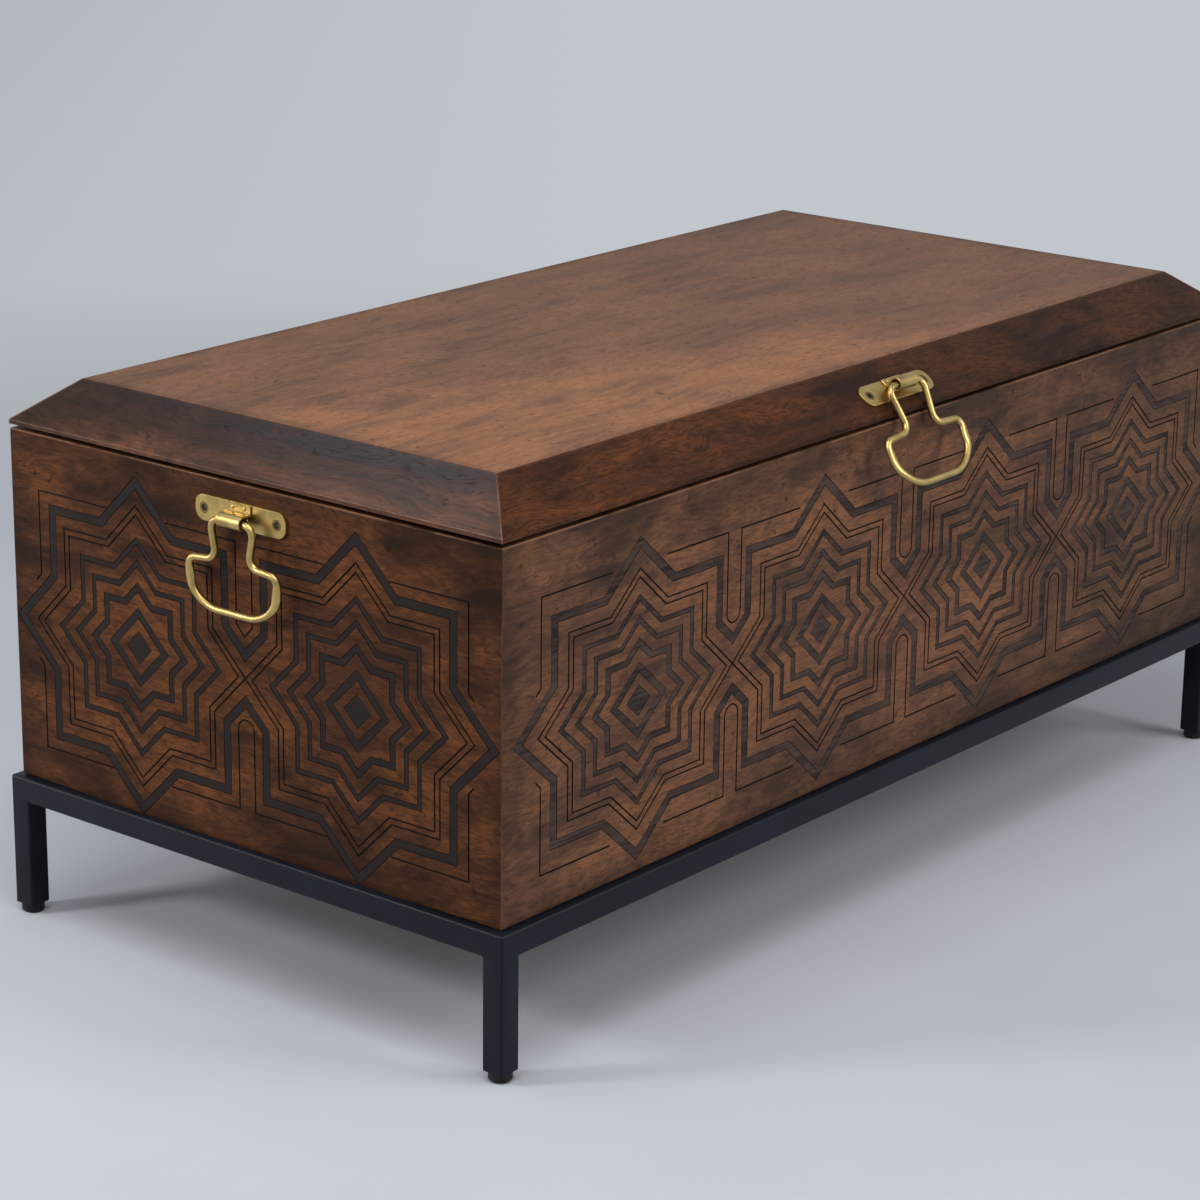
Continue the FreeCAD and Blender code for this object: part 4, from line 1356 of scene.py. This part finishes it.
@dataclass
class Studio:
    """The pale floor, the soft lights and the camera at the photograph's viewing angle."""

    eye: Vector
    azimuth: float
    elevation: float
    roll: float
    lens: float
    shift: Point
    floor_half: float = 9.0
    floor_pale: Colour = (0.52, 0.55, 0.61)
    floor_deep: Colour = (0.485, 0.515, 0.575)
    # Painted shade: the backdrop runs from deep on the camera's left to pale on its right, for light falling off.
    backdrop_pale: Colour = (0.535, 0.567, 0.606)
    backdrop_deep: Colour = (0.45, 0.477, 0.516)
    across: Point3 = (0.63, -0.777, 0.0)
    across_deep: float = -1.8
    across_pale: float = 0.2
    lit_to: float = 1.0
    haze_from: float = 2.5
    fill: float = 0.25
    fill_colour: Colour = (0.96, 0.98, 1.0)

    def paling(self, shader: Shader, at: Sock, reach: float) -> Sock:
        """Return how far the backdrop has turned pale at a place, or at a reach in some direction: painted shade,
        darker towards the camera's left.
        """
        across = shader.vector("DOT_PRODUCT", at, self.across, output="Value")
        return shader.ramp(across * reach, self.across_deep, self.across_pale)

    def build_floor(self) -> None:
        """Lay the floor, which isn't part of the table: lit near it, and far away a pale backdrop that glows for
        the camera, with painted shade darkening it towards the camera's left.
        """
        draft = Draft()
        size = self.floor_half
        draft.face(draft.ring([(-size, -size, 0.0), (size, -size, 0.0), (size, size, 0.0), (-size, size, 0.0)]))
        shader = Shader("studio_floor")
        here = shader.place()
        cloud = shader.noise(here, 1.6, 4.0, 0.6)
        tone = shader.mix(shader.ramp(cloud, 0.3, 0.7), self.floor_deep, self.floor_pale)
        lit = shader.node("ShaderNodeBsdfPrincipled", {}, {"Base Color": tone, "Roughness": 0.7})
        shaded_backdrop = shader.mix(self.paling(shader, here, 1.0), self.backdrop_deep, self.backdrop_pale)
        pale = shader.node("ShaderNodeEmission", {}, {"Color": shaded_backdrop})
        away = shader.vector("LENGTH", here, output="Value")
        amount = shader.shown() * shader.ramp(away, self.lit_to, self.haze_from)
        floor = shader.close(shader.node("ShaderNodeMixShader", {}, {0: amount, 1: lit, 2: pale}))
        draft.piece("studio_floor", [floor])

    def build_lights(self) -> None:
        """Set the fill and the backdrop, and hang the soft lights."""
        shader = Shader("studio_fill", world=True)
        fill = shader.node("ShaderNodeBackground", {}, {"Color": self.fill_colour, "Strength": self.fill})
        # The backdrop that the camera and gloss see carries the same painted shade.
        deep = shader.node("ShaderNodeBackground", {}, {"Color": self.backdrop_deep})
        pale = shader.node("ShaderNodeBackground", {}, {"Color": self.backdrop_pale})
        way = shader.node("ShaderNodeTexCoord", output="Generated")
        amount = self.paling(shader, way, self.floor_half)
        backdrop = shader.node("ShaderNodeMixShader", {}, {0: amount, 1: deep, 2: pale})
        both = shader.node("ShaderNodeMixShader", {}, {0: shader.shown(), 1: fill, 2: backdrop})
        bpy.context.scene.world = shader.close(both, "ShaderNodeOutputWorld")
        for light in SOFT_LIGHTS:
            light.hang()

    def build_camera(self) -> None:
        """Set the camera, with the photograph's slight roll and shift."""
        azimuth, elevation, roll = (math.radians(turn) for turn in (self.azimuth, self.elevation, self.roll))
        back = Vector((math.sin(azimuth) * math.cos(elevation), -math.cos(azimuth) * math.cos(elevation),
                       math.sin(elevation)))
        level = Vector((math.cos(azimuth), math.sin(azimuth), 0.0))
        right = level * math.cos(roll) + back.cross(level) * math.sin(roll)
        data = bpy.data.cameras.new("camera")
        data.lens = self.lens
        data.shift_x, data.shift_y = self.shift
        camera = bpy.data.objects.new("camera", data)
        turn = Matrix((right, back.cross(right), back)).transposed().to_4x4()
        camera.matrix_world = Matrix.Translation(self.eye) @ turn
        bpy.context.scene.collection.objects.link(camera)
        bpy.context.scene.camera = camera


# Painted light: the same panel wood takes darker, shaded tones on the ends and paler, lit tones on the long sides.
END_SHADED_TONES = {"dark": (0.028, 0.0115, 0.0065), "body": (0.092, 0.033, 0.013), "warm": (0.172, 0.06, 0.018)}
LONG_LIT_TONES = {"dark": (0.055, 0.027, 0.018), "body": (0.155, 0.066, 0.032), "warm": (0.24, 0.1, 0.042)}
# Painted light: the same lid rail wood takes darker, shaded tones on the long rails and paler, lit tones on the
# ends.
FRONT_BEVEL_SHADED_TONES = {"dark": (0.022, 0.008, 0.004), "body": (0.068, 0.022, 0.008), "warm": (0.13, 0.041, 0.012)}
END_BEVEL_LIT_TONES = {"dark": (0.045, 0.017, 0.009), "body": (0.12, 0.044, 0.019), "warm": (0.185, 0.068, 0.028)}
TOP_TONES = {"dark": (0.15, 0.066, 0.034), "body": (0.265, 0.116, 0.057), "warm": (0.31, 0.133, 0.062)}
INNER_TONES = {"dark": (0.17, 0.105, 0.06), "body": (0.27, 0.175, 0.105), "warm": (0.31, 0.2, 0.12)}
# Painted light: the inlay's pale tone is darker, shaded, on the ends and paler, lit, on the long sides.
INLAY_DEEP, END_SHADED_INLAY, LONG_LIT_INLAY = (0.014, 0.01, 0.009), (0.022, 0.014, 0.012), (0.068, 0.042, 0.033)
CUT_DEEP, CUT_PALE = (0.006, 0.004, 0.003), (0.013, 0.008, 0.006)
# Painted shade: the front panel darkens and greys towards its right end, where less light falls.
PANEL_SHADE_FADES = {Side.FRONT: Fade((1.0, 0.0, 0.0), 0.1, 0.5, (0.64, 0.69, 0.74))}
# Painted light on the lid rails: the front rail darkens towards its right end as painted shade; the left end rail
# turns darker and cooler towards its top, partly a dark stain and partly a painted bluish sheen.
RAIL_SHADE_FADES = {Side.FRONT: Fade((1.0, 0.0, 0.0), -0.35, 0.2, (0.62, 0.62, 0.62)),
              Side.LEFT: Fade((0.0, 0.05, 1.0), 0.421, 0.446, (0.3, 0.32, 0.36), 0.03)}
# Painted shade: the top darkens and greys towards the back and right, where less light falls, together with the far
# boards' darker tone.
TOP_SHADE_FADE = Fade((0.3, 0.95, 0.0), -0.17, -0.06, (0.68, 0.72, 0.77))
LID_BOARDS = 5
SLOT_COATS = (Coat("black_steel_powder", (0.0043, 0.0064, 0.011), (0.008, 0.0113, 0.0185), 0.38, 900.0, 0.06 * MM),
              Coat("insert_plastic_moulded", (0.014, 0.015, 0.017), (0.024, 0.025, 0.028), 0.5, 1200.0, 0.04 * MM),
              Coat("foot_plastic_moulded", (0.012, 0.012, 0.014), (0.022, 0.022, 0.024), 0.55, 1200.0, 0.04 * MM),
              Coat("felt_fibres", (0.02, 0.019, 0.018), (0.05, 0.047, 0.044), 0.95, 1600.0, 0.3 * MM),
              Metal("plated_steel_satin", (0.46, 0.45, 0.43), (0.3, 0.295, 0.28), 0.34))
BRASS = Metal("aged_brass", (0.54, 0.385, 0.14), (0.33, 0.23, 0.08), 0.36)
SEAT_BRASS = Metal("tarnished_brass", (0.3, 0.2, 0.08), (0.16, 0.105, 0.045), 0.45)
SCREW_STEEL = Metal("browned_steel", (0.06, 0.05, 0.04), (0.03, 0.026, 0.022), 0.45)
SCREW_SLOT = Metal("screw_slot_dark", (0.03, 0.028, 0.026), (0.015, 0.014, 0.014), 0.6)
END_STARS = {"star_places": (-117.5 * MM, 117.5 * MM), "star_width": 100.4 * MM, "star_height": 99.8 * MM,
             "slot_end": SlotEnd.POINTED}
LONG_STARS = {"star_places": tuple(place * MM for place in (-355.5, -118.5, 118.5, 355.5)),
              "star_width": 104.2 * MM, "star_height": 92.4 * MM, "slot_end": SlotEnd.ROUND}


def reach_of(nodes: Sequence[str], axes: tuple[int, int], outward: Vector, mitred: bool = False) -> Reach:
    """Return the rectangle that nodes fill along two axes.

    Args:
        nodes: The first and the last node of a row, or one node.
        axes: The axis along the fibres and the one across them.
        outward: The way out of the face.
        mitred: Whether the ends are cut at 45 degrees and only the upper long edge counts.

    Returns:
        The rectangle.
    """
    low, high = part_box(nodes[0])[0].copy(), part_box(nodes[-1])[1]
    if mitred:
        low[axes[1]] -= high[axes[1]] - low[axes[1]]
    depth_axis = max(range(3), key=lambda axis: abs(outward[axis]))
    outer = (low if outward[depth_axis] < 0.0 else high)[depth_axis]
    return Reach(axes, tuple(0.5 * (low[axis] + high[axis]) for axis in axes),
                 tuple(0.5 * (high[axis] - low[axis]) for axis in axes), depth_axis, outer, mitred)


def build_base(steel: bpy.types.Material) -> None:
    """Build the base's ring of rails and its legs.

    Args:
        steel: Their finish.
    """
    base = WeldedBase()
    carry(base.build_ring(steel), "carcass", "black_steel", *(f"{side.word}_rail" for side in Side))
    for node in (f"{end}_{side}_leg" for end in ("front", "back") for side in ("left", "right")):
        carry(base.build_leg(node, steel), "carcass", "black_steel", node)


def dress_fittings(finishes: dict[str, bpy.types.Material]) -> None:
    """Give every solid that no piece replaces the finish of its material slot.

    Args:
        finishes: The finishes by name, which starts with the slot's.
    """
    for name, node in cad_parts.items():
        if node.hide_render:
            continue
        for slot in node.material_slots:
            base = slot.material.name.split(".")[0]
            slot.material = next(material for title, material in finishes.items() if title.startswith(base))
        LOG.info("%s is dressed as it stands", name)


def build_panels(inner_wood: bpy.types.Material) -> None:
    """Build the four inlaid panels.

    Args:
        inner_wood: The finish of their inner faces.
    """
    for seed, side in enumerate(Side):
        node = f"{side.word}_panel"
        # The ends take shaded copies of the wood and inlay tones and the long sides lit ones: painted light.
        wood = Wood(f"{node}_stained", side.grain, **(END_SHADED_TONES if side.short else LONG_LIT_TONES), seed=1.7 * seed,
                    reach=reach_of([node], (side.grain.value, 2), side.outward), fade=PANEL_SHADE_FADES.get(side),
                    smoke=0.5, shine=0.06 if side.short else 0.12)
        pale = END_SHADED_INLAY if side.short else LONG_LIT_INLAY
        inlay = Inlay(f"{node}_ebonised", side.grain, INLAY_DEEP, pale, 0.45)
        cut = Inlay(f"{node}_cut", side.grain, CUT_DEEP, CUT_PALE, 0.7)
        panel = StarPanel(node, side, **(END_STARS if side.short else LONG_STARS))
        piece = panel.build([wood.material(), inlay.material(), cut.material(), inner_wood])
        carry(piece, "carcass", "panel_wood", node)


def build_lid() -> None:
    """Build the lid's chamfered rails and its planks."""
    for seed, side in enumerate(Side):
        # The rails' strong end wear also paints a highlight line along each mitre, besides wear.
        node = f"lid_{side.word}_rail"
        reach = reach_of([node], (side.grain.value, 2), side.outward, mitred=True)
        # The end rails take lit copies of the bevel tones and the long rails darker, shaded ones: painted light.
        wood = Wood(f"{node}_stained", side.grain, **(END_BEVEL_LIT_TONES if side.short else FRONT_BEVEL_SHADED_TONES),
                    seed=4.1 + seed, reach=reach, fade=RAIL_SHADE_FADES.get(side), smoke=0.5 if side.short else 0.25,
                    smoke_width=0.014, curl=0.2, fibres=0.65, gloss=0.28, shine=0.2 if side.short else 0.08,
                    rubbed_depth=60.0 * MM, end_wear=0.8, long_wear=0.35)
        carry(LidRail(node, side).build(wood.material()), "lid", "lid_wood", node)
    boards = [f"lid_board_{number + 1}" for number in range(LID_BOARDS)]
    wood = Wood("lid_boards_stained", Grain.ALONG_X, **TOP_TONES, seed=9.3, fade=TOP_SHADE_FADE, smoke=0.3,
                reach=reach_of(boards, (0, 1), Vector((0.0, 0.0, 1.0))), smoke_width=0.012, gloss=0.46,
                shine=0.08, curl=0.25).material()
    for node in boards:
        carry(Plank(node).build(wood), "lid", "top_wood", node)


def build_handles() -> None:
    """Build the three drop handles and their screws."""
    low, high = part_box("lid_front_rail")
    bevel = math.atan2(LidRail.run, high.z - low.z - LidRail.nosing)
    brass, seat, steel, slot = (metal.material() for metal in (BRASS, SEAT_BRASS, SCREW_STEEL, SCREW_SLOT))
    screws = {"carcass": Draft(), "lid": Draft()}
    for handle in (DropHandle("left", Side.LEFT), DropHandle("right", Side.RIGHT),
                   DropHandle("front", Side.FRONT, FRONT_BAIL, bevel)):
        body = "lid" if handle.side is Side.FRONT else "carcass"
        carry(handle.build_plate([brass, seat]), body, "brass", handle.node("plate"))
        carry(handle.build_barrel(brass), body, "brass", handle.node("knuckle"))
        carry(handle.build_bail(brass), f"{handle.name}_bail", "brass", handle.node("bail"))
        handle.add_screws(screws[body])
    for body, node in (("carcass", "end_handle_screws"), ("lid", "front_handle_screws")):
        carry(screws[body].piece(f"{node}_slotted", [steel, slot, seat]), body, "brass", node)


def main() -> None:
    """Build the table's finish, the floor, the lights and the camera."""
    logging.basicConfig(level=logging.INFO, format="%(name)s: %(message)s")
    inner_wood = Wood("inner_wood_plain", Grain.ALONG_X, **INNER_TONES, seed=20.0, gloss=0.6).material()
    finishes = {coat.name: coat.material() for coat in SLOT_COATS}
    build_panels(inner_wood)
    build_lid()
    build_handles()
    build_base(finishes["black_steel_powder"])
    dress_fittings({**finishes, inner_wood.name: inner_wood})
    eye = Vector((-2.376961, middle_and_half("bottom_panel")[0].y - 1.857239, 1.142908))
    studio = Studio(eye, azimuth=-50.963, elevation=17.404, roll=0.648, lens=107.183, shift=(0.003586, 0.005734))
    studio.build_floor()
    studio.build_lights()
    studio.build_camera()
    bpy.context.scene.view_settings.view_transform = "Standard"


if __name__ == "__main__":
    main()
